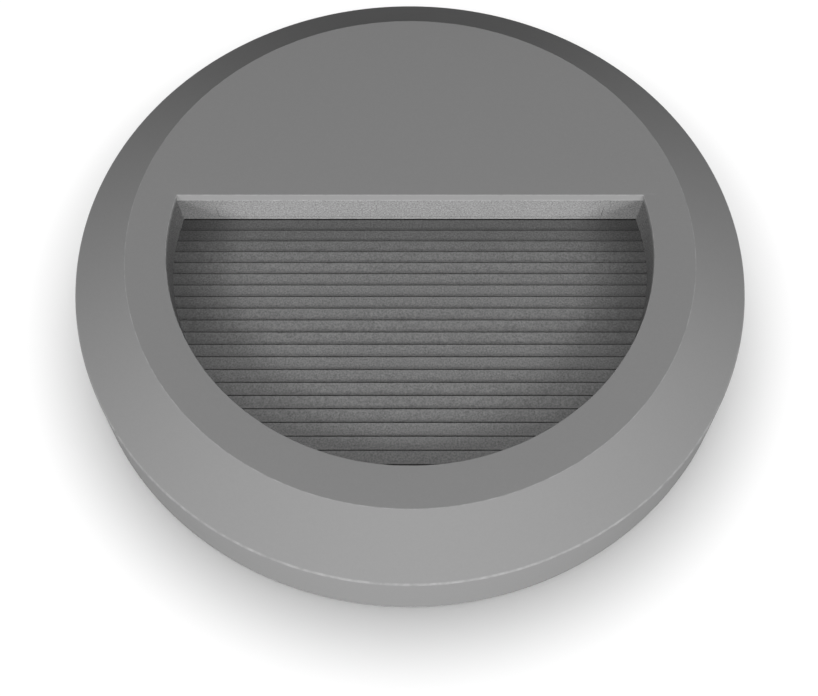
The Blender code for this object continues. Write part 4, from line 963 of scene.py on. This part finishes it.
def buildTube():
    # a round wire along smooth curves through the points of each run
    tree, given, out = geometryTree("roundWire", [
        ("Runs", "Geometry"), ("Radius", "Float"), ("Sides", "Int"), ("Spacing", "Float"),
        ("Finish", "Material"),
    ])
    curve = put(tree, "GeometryNodeMeshToCurve", {"Mesh": given["Runs"]}).outputs[0]
    smooth = put(tree, "GeometryNodeCurveSplineType", {"Curve": curve}, spline_type="CATMULL_ROM").outputs[0]
    fine = put(tree, "GeometryNodeSetSplineResolution", {0: smooth, "Resolution": 12}).outputs[0]
    even = put(tree, "GeometryNodeResampleCurve", {"Curve": fine, "Length": given["Spacing"]}, mode="LENGTH")
    ring = put(tree, "GeometryNodeCurvePrimitiveCircle", {
        "Resolution": given["Sides"], "Radius": given["Radius"]}).outputs[0]
    tube = put(tree, "GeometryNodeCurveToMesh", {
        "Curve": even.outputs[0], "Profile Curve": ring, "Fill Caps": True}).outputs[0]
    welded = put(tree, "GeometryNodeMergeByDistance", {"Geometry": tube, "Distance": 0.000001}).outputs[0]
    endTree(tree, welded, given["Finish"], out)
    return tree


def buildWinding():
    # one layer of wire wound on a drum
    tree, given, out = geometryTree("wireWinding", [
        ("Turns", "Float"), ("Coil Radius", "Float"), ("Height", "Float"), ("Wire Radius", "Float"),
        ("Place", "Vector"), ("Finish", "Material"),
    ])
    coil = put(tree, "GeometryNodeCurveSpiral", {
        "Resolution": 40, "Rotations": given["Turns"], "Start Radius": given["Coil Radius"],
        "End Radius": given["Coil Radius"], "Height": given["Height"]}).outputs[0]
    ring = put(tree, "GeometryNodeCurvePrimitiveCircle", {
        "Resolution": 10, "Radius": given["Wire Radius"]}).outputs[0]
    wire = put(tree, "GeometryNodeCurveToMesh", {"Curve": coil, "Profile Curve": ring, "Fill Caps": True})
    welded = put(tree, "GeometryNodeMergeByDistance", {"Geometry": wire.outputs[0], "Distance": 0.000001})
    moved = put(tree, "GeometryNodeSetPosition", {"Geometry": welded.outputs[0], "Offset": given["Place"]})
    endTree(tree, moved.outputs[0], given["Finish"], out)
    return tree


copiesTree, tubeTree, windingTree = buildCopies(), buildTube(), buildWinding()
upwards, downwards, backwards = (0, 0, 1), (0, 0, -1), (0, 1, 0)
turnTo = {upwards: (0.0, 0.0, 0.0), downwards: (math.pi, 0.0, 0.0), backwards: (-math.pi / 2, 0.0, 0.0)}


def pointMesh(name, runs):
    mesh = bpy.data.meshes.new(name)
    spots, edges = [], []
    for run in runs:
        edges += [(len(spots) + k, len(spots) + k + 1) for k in range(len(run) - 1)]
        spots += [tuple(point) for point in run]
    mesh.from_pydata(spots, edges, [])
    return mesh


def headPlace(node, direction):
    # middle of the face of the node's box that the screw's head lies in
    low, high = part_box(node)
    return (low + high) / 2 - Vector(direction) * abs((high - low).dot(Vector(direction))) / 2


def copied(name, part, places, direction, material, nodes, spin=0.0):
    thing = grown(name, copiesTree, {
        "Part": part, "Turn": turnTo[direction], "Spin": spin, "Finish": material,
    }, pointMesh(name, [[place] for place in places]))
    bpy.data.objects.remove(part)
    return finished(thing, "lamp", nodes)


def wired(name, runs, radius, material, nodes, sides=18, spacing=0.00035):
    thing = grown(name, tubeTree, {
        "Radius": radius, "Sides": sides, "Spacing": spacing, "Finish": material,
    }, pointMesh(name, runs))
    return finished(thing, "lamp", nodes)


screws = {
    "smallShank": 0.0008, "smallHead": 0.0014, "headHeight": 0.0011, "headRound": 0.00045,
    "smallPitch": 0.0004, "smallDepth": 0.00013, "crossWidth": 0.00032, "crossSpan": 0.0016,
    "crossDepth": 0.0006, "plateShank": 0.0012, "plateHead": 0.0027, "sinkHeight": 0.0015,
    "platePitch": 0.0005, "plateDepth": 0.00018, "plateCrossWidth": 0.00055, "plateCrossSpan": 0.0031,
    "plateCrossDepth": 0.00095, "runOut": 0.00015, "spin": 1.3,
}


def crossCut(thing, width, span, depth):
    # a cross recess in the head, which lies at height zero and faces down
    bars = [block("bar", (-a / 2, -b / 2, -overrun), (a / 2, b / 2, depth))
            for a, b in ((width, span), (span, width))]
    return carved(thing, bars)


def panScrew(length):
    head, shank, tall = screws["smallHead"], screws["smallShank"], screws["headHeight"]
    arc = roundOver((0, 0), (head, 0), (head, tall), screws["headRound"], 5)
    rows = [(radius, z, 0) for radius, z in arc]
    rows += [(head, tall - screws["runOut"] / 2, 0), (head - screws["runOut"] / 2, tall, 0), (shank, tall, 0)]
    rows += threadRows(shank, tall + screws["runOut"], length - 2 * screws["runOut"], screws["smallPitch"])
    rows.append((shank / 2, length, 0))
    body = threaded("panScrew", rows, screws["smallPitch"], screws["smallDepth"], 20)
    return crossCut(body, screws["crossWidth"], screws["crossSpan"], screws["crossDepth"])


def smallScrews():
    for name, direction, nodes in (
        ("carrierScrews", upwards, ["carrier_screw_left", "carrier_screw_right"]),
        ("ledBoardScrews", backwards, ["led_board_screw_left", "led_board_screw_right"]),
        ("earthScrew", upwards, ["earth_screw"]),
        ("driverScrews", downwards, ["driver_screw_1", "driver_screw_2"]),
    ):
        low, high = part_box(nodes[0])
        part = panScrew(abs((high - low).dot(Vector(direction))))
        places = [headPlace(node, direction) for node in nodes]
        copied(name, part, places, direction, screwSteel, nodes, screws["spin"])


def plateScrews():
    nodes = [f"back_plate_screw_{number}" for number in range(1, 5)]
    low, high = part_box(nodes[0])
    length, edge = high.z - low.z, screws["runOut"] / 2
    head, shank, sink = screws["plateHead"], screws["plateShank"], screws["sinkHeight"]
    rows = [(head - edge, 0, 0), (head, edge, 0), (shank + edge, sink - edge, 0), (shank, sink, 0)]
    rows += threadRows(shank, sink + screws["runOut"], length - 3 * screws["runOut"], screws["platePitch"], 8)
    rows.append((shank / 2, length, 0))
    part = threaded("plateScrew", rows, screws["platePitch"], screws["plateDepth"], 32)
    crossCut(part, screws["plateCrossWidth"], screws["plateCrossSpan"], screws["plateCrossDepth"])
    places = [headPlace(node, upwards) for node in nodes]
    copied("backPlateScrews", part, places, upwards, screwSteel, nodes, screws["spin"])


grub = {
    "pitch": 0.0005, "depth": 0.00022, "chamfer": 0.0003, "cup": 0.0006, "cupDepth": 0.0003,
    "socket": 0.00085, "socketDepth": 0.0015, "steps": 40,
}


def grubScrews():
    # hexagon socket set screws with a cup point, each on its own body
    for side, word in ((-1, "left"), (1, "right")):
        node = f"grub_screw_{word}"
        low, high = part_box(node)
        length, radius, ease = high.x - low.x, (high.z - low.z) / 2, grub["chamfer"]
        rows = [(radius - ease, 0, 0), (radius - ease / 3, ease / 2, 0)]
        rows += threadRows(radius, ease, length - ease, grub["pitch"], 8)
        rows += [(radius - ease / 3, length - ease / 2, 0), (radius - ease, length, 0)]
        screw = threaded(f"grub{word.title()}", rows, grub["pitch"], grub["depth"], grub["steps"])
        socketLow = length - grub["socketDepth"]
        socket = rod("socket", grub["socket"], (0, 0, socketLow), (0, 0, length + overrun), 6)
        cup = rod("cup", grub["cup"], (0, 0, -grub["cupDepth"]), (0, 0, grub["cupDepth"]), 40,
                  grub["cup"] / 3)
        carved(screw, [socket, cup])
        inner = low.x if side > 0 else high.x
        middle = (low + high) / 2
        laid(coloured(screw, screwSteel), (inner, middle.y, middle.z), (side, 0, 0))
        finished(screw, f"grub_{word}", [node], sharp=50)


smallScrews()
plateScrews()
grubScrews()
print("screws ready")

bracket = {"edge": 0.00018}
plateMake = {
    "edge": 0.00025, "bore": 0.0015, "mouth": 0.003, "sink": 0.0015, "standoff": 0.0022,
    "standoffBore": 0.0011, "glandNeck": 0.0055,
}
seals = {"plateRound": 0.0003, "windowRound": 0.00018}
gland = {"bore": 0.0032, "neck": 0.0052, "flange": 0.0013, "lip": 0.0006, "round": 0.00022, "steps": 96}


def wallBracket():
    strip = coloured(rounded(framed("wallBracket", "wall_bracket"), bracket["edge"]), zincPlate)
    finished(strip, "wall_bracket", ["wall_bracket"])


def backPlate():
    edge, radius = plateMake["edge"], plateHigh.x
    outline = [(0, plateTop)]
    outline += roundOver((0, plateTop), (radius, plateTop), (radius, plateLow.z), edge, 3)
    outline += roundOver((radius, plateTop), (radius, plateLow.z), (0, plateLow.z), edge, 3)
    outline.append((0, plateLow.z))
    disc = spun("backPlate", outline, casting["spinSteps"])
    posts, tools = [], []
    for number in (1, 2):
        node = f"driver_screw_{number}"
        x, y, z = middleOf(node)
        posts.append(rod("standoff", plateMake["standoff"], (x, y, plateTop - edge), (x, y, plateHigh.z)))
        ends = (x, y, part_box(node)[0].z), (x, y, plateHigh.z + overrun)
        tools.append(rod("bore", plateMake["standoffBore"], *ends))
    slope = (plateMake["mouth"] - plateMake["bore"]) / plateMake["sink"]
    for number in range(1, 5):
        x, y, z = middleOf(f"back_plate_screw_{number}")
        tools.append(rod("bore", plateMake["bore"], (x, y, plateLow.z - overrun), (x, y, plateTop + overrun)))
        ends = (x, y, plateLow.z - overrun), (x, y, plateLow.z + plateMake["sink"])
        wide = plateMake["mouth"] + slope * overrun
        tools.append(rod("sink", wide, *ends, endRadius=plateMake["bore"]))
    x, y, z = middleOf("cable_gland")
    tools.append(rod("glandHole", plateMake["glandNeck"], (x, y, 0), (x, y, roofZ), 96))
    carved(disc, posts, "UNION")
    carved(disc, tools)
    finished(coloured(disc, rolledAluminium), "lamp", ["back_plate"])


def plateSeal():
    outer, low, high = plateSealHigh.x, plateSealLow.z, plateSealHigh.z
    inner = plateHigh.x + gap - casting["ledgeWidth"] + gap
    loop = softLoop([(inner, high), (outer, high), (outer, low), (inner, low)], seals["plateRound"])
    ring = spun("plateSeal", loop, casting["spinSteps"], ring=True)
    finished(coloured(ring, siliconeRubber), "lamp", ["back_plate_seal"])


def windowSeal():
    frameRing = rounded(framed("windowSeal", "window_seal"), seals["windowRound"])
    finished(coloured(frameRing, siliconeRubber), "lamp", ["window_seal"])


def cableGland():
    low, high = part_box("cable_gland")
    bore, neck, wide = gland["bore"], gland["neck"], high.x
    rim = high.z - gland["lip"]
    loop = softLoop([
        (bore, high.z), (bore + gland["lip"], high.z), (wide, rim), (wide, rim - gland["flange"]),
        (neck, rim - gland["flange"]), (neck, low.z + gland["flange"]), (wide, low.z + gland["flange"]),
        (wide, low.z), (bore, low.z),
    ], gland["round"])
    x, y, z = (low + high) / 2
    ring = spun("cableGland", loop, gland["steps"], (x, y), ring=True)
    finished(coloured(ring, siliconeRubber), "lamp", ["cable_gland"])


wallBracket()
backPlate()
plateSeal()
windowSeal()
cableGland()
print("back ready")

ledParts = {
    "edge": 0.00012, "dish": 0.0011, "dishDepth": 0.00015, "phosphorGap": 0.00002, "boardEdge": 0.00006,
    "pad": (0.0005, 0.0019), "padHeight": 0.00006, "padReach": 0.00022, "carrierEdge": 0.00015,
}


def ledRow():
    nodes = [f"led_package_{number}" for number in range(1, 9)]
    low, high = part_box(nodes[0])
    across, deep, tall = (high - low) / 2
    places = [headPlace(node, backwards) for node in nodes]
    # built lying on its back: the light leaves towards -Z, and the copies are turned to face -Y
    body = rounded(block("ledBody", (-across, -tall, 0), (across, tall, 2 * deep)), ledParts["edge"], 2)
    dish = rod("dish", ledParts["dish"], (0, 0, -overrun), (0, 0, ledParts["dishDepth"]), 40)
    copied("ledBodies", carved(body, [dish]), places, backwards, whiteResin, nodes)
    slack = ledParts["phosphorGap"]
    radius, depth = ledParts["dish"] - slack, ledParts["dishDepth"] - slack
    filling = spun("filling", [
        (0, depth), (radius, depth), (radius, slack * 2), (radius * 0.8, slack * 1.4),
        (radius * 0.4, slack), (0, slack)], 40)
    copied("ledPhosphor", filling, places, backwards, phosphor, nodes)
    padWide, padTall = ledParts["pad"]
    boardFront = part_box("led_board")[0].y
    pad = rounded(block("pad", (-padWide / 2, -padTall / 2, -ledParts["padHeight"]),
                        (padWide / 2, padTall / 2, 0.00002)), 0.00002, 1)
    pads = [Vector((place.x + side * (across + ledParts["padReach"]), boardFront, place.z))
            for place in places for side in (-1, 1)]
    copied("ledPads", pad, pads, backwards, tinned, ["led_board"])


def ledBoard():
    board = rounded(framed("ledBoard", "led_board"), ledParts["boardEdge"], 2)
    coloured(board, rolledAluminium, whiteMask)
    paintedBy(board, lambda face: face.normal.y < -0.5)
    finished(board, "lamp", ["led_board"])
    angle = rounded(framed("ledCarrier", "led_carrier"), ledParts["carrierEdge"])
    finished(coloured(angle, rolledAluminium), "lamp", ["led_carrier"])


ledRow()
ledBoard()
print("light source ready")

driver = {
    "boardEdge": 0.00008, "sheetEdge": 0.00004, "body": 0.0003, "legRadius": 0.00022, "legInset": 0.0007,
    "solderRadius": 0.0005, "solderHeight": 0.00026, "chipPitch": 0.00127, "chipLegWidth": 0.0004,
    "dimple": 0.0003, "dimpleDepth": 0.0001, "sleeveRound": 0.00035, "crimpPlace": 0.0012,
    "crimpDepth": 0.00025, "endRecess": 0.00018, "endShare": 0.74, "windings": 11, "windRadius": 0.00013,
    "discSteps": 64,
}


def boards():
    board = rounded(framed("driverBoard", "driver_board"), driver["boardEdge"], 2)
    coloured(board, greenMask, boardEdge)
    paintedBy(board, lambda face: abs(face.normal.z) < 0.5)
    finished(board, "lamp", ["driver_board"])
    sheet = rounded(framed("insulatingSheet", "insulating_sheet"), driver["sheetEdge"], 2)
    finished(coloured(sheet, filmSheet), "lamp", ["insulating_sheet"])


def capacitor(name, node):
    # a sleeved can on its side: crimp groove near the seal, sleeve folded over the other end
    low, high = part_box(node)
    length, radius = high.x - low.x, (high.z - low.z) / 2
    ease, recess, inner = driver["sleeveRound"], driver["endRecess"], radius * driver["endShare"]
    crimp, dip = driver["crimpPlace"], driver["crimpDepth"]
    outline = [(0, recess), (inner, recess), (inner + recess, 0)]
    outline += roundOver((0, 0), (radius, 0), (radius, length), ease, 5)
    outline += [(radius, crimp - dip), (radius - dip * 0.6, crimp - dip * 0.5), (radius - dip, crimp),
                (radius - dip * 0.6, crimp + dip * 0.5), (radius, crimp + dip)]
    outline += roundOver((radius, 0), (radius, length), (0, length), ease, 5)
    outline += [(inner + recess, length), (inner, length - recess), (0, length - recess)]
    can = coloured(spun(name, outline, driver["discSteps"]), blackResin, tinned)
    paintedBy(can, lambda face: face.center.z > length / 2 and face.center.xy.length < inner)
    middle = (low + high) / 2
    laid(can, (low.x, middle.y, middle.z), (1, 0, 0))
    finished(can, "lamp", [node])


def varistor():
    low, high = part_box("varistor")
    thick, radius = high.x - low.x, (high.z - low.z) / 2
    outline = [(0, 0), (radius * 0.6, 0)]
    outline += roundOver((0, 0), (radius, 0), (radius, thick), thick * 0.42, 7)
    outline += roundOver((radius, 0), (radius, thick), (0, thick), thick * 0.42, 7)
    outline += [(radius * 0.6, thick), (0, thick)]
    disc = coloured(spun("varistorDisc", outline, driver["discSteps"]), blueEpoxy)
    middle = (low + high) / 2
    finished(laid(disc, (low.x, middle.y, middle.z), (1, 0, 0)), "lamp", ["varistor"])


def fuseResistor():
    # dipped body with a fuller cap at each end
    low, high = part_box("fuse_resistor")
    length, radius = high.y - low.y, (high.z - low.z) / 2
    waist, cap = radius * 0.86, length * 0.2
    outline = [(0, 0)] + roundOver((0, 0), (radius, 0), (radius, length), radius * 0.5, 6)
    outline += [(radius, cap), (waist + (radius - waist) * 0.4, cap * 1.2), (waist, cap * 1.45)]
    outline += [(waist, length - cap * 1.45), (waist + (radius - waist) * 0.4, length - cap * 1.2)]
    outline += [(radius, length - cap)]
    outline += roundOver((radius, 0), (radius, length), (0, length), radius * 0.5, 6) + [(0, length)]
    body = coloured(spun("fuseBody", outline, driver["discSteps"]), blueEpoxy)
    middle = (low + high) / 2
    finished(laid(body, (middle.x, low.y, middle.z), (0, 1, 0)), "lamp", ["fuse_resistor"])


def inductor():
    low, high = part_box("power_inductor")
    radius, tall = (high.x - low.x) / 2, high.z - low.z
    rim, waist, x, y = 0.0009, 0.0022, *((low + high) / 2).xy
    outline = [(0, high.z)] + roundOver((0, high.z), (radius, high.z), (radius, low.z), 0.0002, 3)
    outline += [(radius, high.z - rim), (waist, high.z - rim), (waist, low.z + rim), (radius, low.z + rim)]
    outline += roundOver((radius, high.z), (radius, low.z), (0, low.z), 0.0002, 3) + [(0, low.z)]
    drum = coloured(spun("inductorDrum", outline, driver["discSteps"], (x, y)), ferriteBlack)
    finished(drum, "lamp", ["power_inductor"])
    wire = driver["windRadius"]
    coil = grown("inductorWinding", windingTree, {
        "Turns": float(driver["windings"]), "Coil Radius": waist + wire * 1.2,
        "Height": tall - 2 * rim - 2.4 * wire, "Wire Radius": wire,
        "Place": (x, y, low.z + rim + 1.2 * wire), "Finish": copperWire})
    finished(coil, "lamp", ["power_inductor"])


def blackPackages():
    for name, node in (("rectifierBody", "bridge_rectifier"), ("chipBody", "driver_chip")):
        low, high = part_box(node)
        body = rounded(block(name, low, high), driver["body"])
        x, y = low.x + 3 * driver["dimple"], low.y + 3 * driver["dimple"]
        dimple = rod("dimple", driver["dimple"], (x, y, high.z - driver["dimpleDepth"]), (x, y, high.z + overrun))
        finished(coloured(carved(body, [dimple]), blackResin), "lamp", [node])
    low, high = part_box("driver_chip")
    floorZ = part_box("driver_board")[1].z
    rise = low.z - floorZ + 0.0003
    outline = [(0, rise), (0.0003, rise), (0.00048, 0.00014), (0.0009, 0.00014), (0.0009, 0.00003),
               (0.0004, 0.00003), (0.00022, rise - 0.00011), (0, rise - 0.00011)]
    half = driver["chipLegWidth"] / 2
    middle, legs = (low + high) / 2, []
    for side in (-1, 1):
        edge = high.y if side > 0 else low.y
        for k in range(4):
            x = middle.x + (k - 1.5) * driver["chipPitch"]
            shape = [(edge + side * reach, floorZ + z) for reach, z in outline]
            legs.append(prism("leg", shape, x - half, x + half))
    row = legs[0]
    row.name = "chipLegs"
    carved(row, legs[1:], "UNION")
    finished(coloured(row, tinned), "lamp", ["driver_chip"])


def legRuns():
    # from inside each part down to the board, as (start, knee, foot)
    footZ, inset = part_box("driver_board")[1].z + 0.00003, driver["legInset"]
    runs = []

    def bent(start, knee):
        start, knee = Vector(start), Vector(knee)
        way = (knee - start).normalized() * 0.0003
        runs.append([start, knee - way, knee + Vector((way.x * 0.4, way.y * 0.4, -0.0003)),
                     (knee.x + way.x, knee.y + way.y, footZ)])

    low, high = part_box("fuse_resistor")
    middle = (low + high) / 2
    bent((middle.x, low.y + inset, middle.z), (middle.x, low.y - inset, middle.z))
    bent((middle.x, high.y - inset, middle.z), (middle.x, high.y + inset, middle.z))
    for node in ("input_capacitor", "output_capacitor"):
        low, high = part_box(node)
        middle = (low + high) / 2
        for side in (-1, 1):
            y = middle.y + side * 0.001
            bent((low.x + inset, y, middle.z - inset), (low.x - inset, y, middle.z - inset))
    low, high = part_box("bridge_rectifier")
    for x in (low.x + 0.0015, high.x - 0.0015):
        for start, knee in ((low.y + inset, low.y - inset * 0.6), (high.y - inset, high.y + inset * 0.6)):
            bent((x, start, low.z + inset), (x, knee, low.z + inset))
    for node, reach in (("varistor", 0.0016), ("power_inductor", 0.002)):
        low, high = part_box(node)
        middle = (low + high) / 2
        for side in (-1, 1):
            y = middle.y + side * reach
            runs.append([(middle.x, y, low.z + 0.0008), (middle.x, y, low.z + 0.0004), (middle.x, y, footZ)])
    return runs


def legsAndSolder():
    runs = legRuns()
    legNodes = ["fuse_resistor", "input_capacitor", "output_capacitor", "bridge_rectifier", "varistor",
                "power_inductor"]
    wired("componentLegs", runs, driver["legRadius"], tinned, legNodes, 12, 0.0002)
    radius, tall = driver["solderRadius"], driver["solderHeight"]
    joint = spun("joint", [
        (0, tall), (radius * 0.42, tall), (radius * 0.55, tall * 0.65), (radius * 0.8, tall * 0.25),
        (radius, 0.00004), (0, 0.00004)], 20)
    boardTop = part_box("driver_board")[1].z
    places = [Vector((run[-1][0], run[-1][1], boardTop)) for run in runs]
    places += [Vector((*leadRoutes[name][-1][:2], boardTop)) for name in leadRoutes if name != "earth_lead"]
    copied("solderJoints", joint, places, upwards, tinned, ["driver_board"], 0.7)


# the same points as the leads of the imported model, in metres
leadRoutes = {
    "neutral_lead": [(-0.0267, 0.0275, 0.0108), (-0.02208, 0.0275, 0.0116), (-0.01364, 0.0332, 0.0115),
                     (-0.01284, 0.0332, 0.0107), (-0.01284, 0.0332, 0.0099)],
    "live_lead": [(-0.0267, 0.0335, 0.0108), (-0.02208, 0.0335, 0.0116), (-0.01364, 0.03586, 0.0115),
                  (-0.01284, 0.03586, 0.0107), (-0.01284, 0.03586, 0.0099)],
    "led_lead_negative": [(0.03155, 0.0136, 0.01245), (0.03155, 0.0164, 0.01245), (0.03155, 0.0206, 0.01215),
                          (0.03155, 0.0218, 0.0105), (0.03155, 0.0218, 0.0099)],
    "led_lead_positive": [(0.03415, 0.0136, 0.01245), (0.03415, 0.0164, 0.01245), (0.03415, 0.0206, 0.01215),
                          (0.03415, 0.0218, 0.0105), (0.03415, 0.0218, 0.0099)],
    "earth_lead": [(-0.0373, 0.0215, 0.0108), (-0.0397, 0.0215, 0.0104)],
}
leadRadius = {"led_lead_negative": 0.0006, "led_lead_positive": 0.0006}


def leads():
    for node, route in leadRoutes.items():
        name = "".join(word.title() for word in node.split("_"))
        look = grained(name + "Insulation", dict(colour=leadColours[node], **leadLook))
        wired(name[0].lower() + name[1:], [route], leadRadius.get(node, 0.0008), look, [node])


terminal = {"edge": 0.00012, "tagEdge": 0.0001, "slotWidth": 0.00042, "slotDepth": 0.00055, "ease": 0.00015}


def terminals():
    bodyBlock = rounded(framed("terminalBlock", "terminal_block"), terminal["edge"], 2)
    finished(coloured(bodyBlock, whiteResin), "lamp", ["terminal_block"])
    nodes = [f"terminal_screw_{number}" for number in (1, 2, 3)]
    low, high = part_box(nodes[0])
    radius, tall, ease = (high.x - low.x) / 2, high.z - low.z, terminal["ease"]
    # built with its slotted head at height zero, facing down, like the other screws
    head = spun("slotted", [(0, 0)] + roundOver((0, 0), (radius, 0), (radius, tall), ease, 4)
                + roundOver((radius, 0), (radius, tall), (0, tall), ease, 4) + [(0, tall)], 48)
    half = terminal["slotWidth"] / 2
    slot = block("slot", (-half, -2 * radius, -overrun), (half, 2 * radius, terminal["slotDepth"]))
    places = [headPlace(node, downwards) for node in nodes]
    copied("terminalScrews", carved(head, [slot]), places, downwards, cleanBrass, nodes, 0.9)
    tag = rounded(framed("earthTag", "earth_tag"), terminal["tagEdge"], 2)
    finished(coloured(tag, cleanBrass), "lamp", ["earth_tag"])


boards()
capacitor("inputCan", "input_capacitor")
capacitor("outputCan", "output_capacitor")
varistor()
fuseResistor()
inductor()
blackPackages()
legsAndSolder()
leads()
terminals()
print("driver ready")

studio = {
    "ambient": 0.04, "floorColour": 0.8, "floorBounce": 0.03, "floorSheen": 0.1, "floorGlow": 0.15,
    "glowFrom": 0.066, "glowTo": 0.079, "floorGap": 0.00005, "distance": 1.2, "size": 0.3,
    "belowLevel": 0.35,
}
# name: brightness of a white surface facing the lamp, turn from straight ahead, rise above the floor
lampPlan = {
    "keyLamp": (0.87, 0, 45), "frontLeftLamp": (0.54, -35, 20), "frontRightLamp": (0.55, 35, 20),
    "backLeftLamp": (0.115, -120, 6), "backRightLamp": (0.12, 120, 6),
}
# the same for the floor alone, then how wide the sky of each is, so that the shadow fades soon
floorPlan = {"floorBackSky": (0.52, 180, 60, 67), "floorTopSky": (0.66, 0, 90, 127)}
cameraView = {
    "place": (-0.000185, -0.088289, 0.15377), "tilt": 25.65, "lens": 39.484, "sensor": 36,
}


def litCollection(name, members):
    group = bpy.data.collections.new(name)
    for member in members:
        group.objects.link(member)
    return group


def aimed(name, light, turn, rise, distance, receivers):
    turn, rise = math.radians(turn), math.radians(rise)
    towards = Vector((math.cos(rise) * math.cos(turn), math.cos(rise) * math.sin(turn), math.sin(rise)))
    lamp = linked(name, light)
    lamp.location = towards * distance
    lamp.rotation_euler = (-towards).to_track_quat("-Z", "Y").to_euler()
    lamp.light_linking.receiver_collection = receivers
    return lamp


def softLamp(name, level, turn, rise, distance, size, receivers):
    # level is the brightness of a white surface that faces the middle of the lamp
    light = bpy.data.lights.new(name, "AREA")
    light.shape = "DISK"
    light.size = size
    light.energy = level * math.pi ** 2 * (distance ** 2 + size ** 2 / 4)
    return aimed(name, light, turn, rise, distance, receivers)


def openSky(name, level, turn, rise, width, receivers):
    light = bpy.data.lights.new(name, "SUN")
    light.energy = level * math.pi
    light.angle = math.radians(width)
    return aimed(name, light, turn, rise, studio["distance"], receivers)


def mirrorRay(tree):
    path = put(tree, "ShaderNodeLightPath").outputs
    return sumOf(tree, "MAXIMUM", path["Is Glossy Ray"], path["Is Transmission Ray"])


def seenRay(tree):
    # 1 where the camera sees the surface directly, mirrored or through glass
    return sumOf(tree, "MAXIMUM", put(tree, "ShaderNodeLightPath").outputs["Is Camera Ray"], mirrorRay(tree))


def buildStage():
    shape = bmesh.new()
    bmesh.ops.create_grid(shape, x_segments=1, y_segments=1, size=6)
    bmesh.ops.translate(shape, vec=(0, 0, -studio["floorGap"]), verts=shape.verts)
    floor = fromShape("floor", shape)
    material, tree, shader = newMaterial("paleFloor", roughness=0.9, specular=0.0)
    shade = studio["floorColour"]
    shader.inputs["Base Color"].default_value = (shade, shade, shade, 1)
    # the floor's own glow fills it up to white beyond the shadow, and mirrors see more of it; it is left out in a
    # ring round the object, a painted shadow that deepens the cast one
    place = put(tree, "ShaderNodeTexCoord").outputs["Object"]
    flat = put(tree, "ShaderNodeVectorMath", {0: place, 1: (1, 1, 0)}, operation="MULTIPLY").outputs[0]
    reach = put(tree, "ShaderNodeVectorMath", {0: flat}, operation="LENGTH").outputs["Value"]
    away = put(tree, "ShaderNodeMapRange", {
        "Value": reach, "From Min": studio["glowFrom"], "From Max": studio["glowTo"],
        "To Max": studio["floorGlow"]}, interpolation_type="SMOOTHSTEP").outputs["Result"]
    glow = put(tree, "ShaderNodeEmission")
    level = sumOf(tree, "MULTIPLY_ADD", mirrorRay(tree), studio["floorSheen"],
                  sumOf(tree, "MULTIPLY", seenRay(tree), away))
    tree.links.new(level, glow.inputs["Strength"])
    lit = put(tree, "ShaderNodeAddShader", {0: glow.outputs[0], 1: shader.outputs[0]}).outputs[0]
    # it throws less light back on the object than it shows
    bounce = studio["floorBounce"]
    dim = put(tree, "ShaderNodeBsdfDiffuse", {"Color": (bounce, bounce, bounce, 1)}).outputs[0]
    diffuse = put(tree, "ShaderNodeLightPath").outputs["Is Diffuse Ray"]
    both = put(tree, "ShaderNodeMixShader", {0: diffuse, 1: lit, 2: dim})
    # clear from below, so that the back of the light can be looked at
    under = put(tree, "ShaderNodeNewGeometry").outputs["Backfacing"]
    clear = put(tree, "ShaderNodeBsdfTransparent").outputs[0]
    surface = put(tree, "ShaderNodeMixShader", {0: under, 1: both.outputs[0], 2: clear})
    tree.links.new(surface.outputs[0], tree.nodes["Material Output"].inputs["Surface"])
    floor.data.materials.append(material)
    return floor


def buildWorld():
    world = bpy.data.worlds.new("studioWorld")
    bpy.context.scene.world = world
    world.use_nodes = True
    tree = world.node_tree
    background = tree.nodes["Background"]
    background.inputs["Color"].default_value = (1, 1, 1, 1)
    level = put(tree, "ShaderNodeMix", {0: seenRay(tree), 2: studio["ambient"], 3: 1.0})
    tree.links.new(level.outputs[0], background.inputs["Strength"])


def buildCamera():
    camera = bpy.data.cameras.new("photoCamera")
    camera.lens, camera.sensor_width = cameraView["lens"], cameraView["sensor"]
    camera.clip_start, camera.clip_end = 0.005, 20
    thing = linked("photoCamera", camera)
    thing.location = cameraView["place"]
    thing.rotation_euler = (math.radians(cameraView["tilt"]), 0, 0)
    bpy.context.scene.camera = thing


floor = buildStage()
buildWorld()
buildCamera()
onObject = litCollection("litObject", shownPieces)
onFloor = litCollection("litFloor", [floor])
inHousing = litCollection("inHousing", [piece for piece in shownPieces if piece.name != "castHousing"])
for name, (level, turn, rise) in lampPlan.items():
    lamp = softLamp(name, level, turn - 90, rise, studio["distance"], studio["size"], onObject)
    if name == "keyLamp":
        # the photo's ribs are lit right up to the lip, so the lip throws no shadow of this lamp
        lamp.light_linking.blocker_collection = inHousing
for name, (level, turn, rise, width) in floorPlan.items():
    openSky(name, level, turn - 90, rise, width, onFloor)
below = softLamp("belowLamp", studio["belowLevel"], 0, -90, studio["distance"], studio["size"], onObject)
below.light_linking.blocker_collection = onObject
view = bpy.context.scene.view_settings
view.view_transform = "Standard"
print("studio ready")
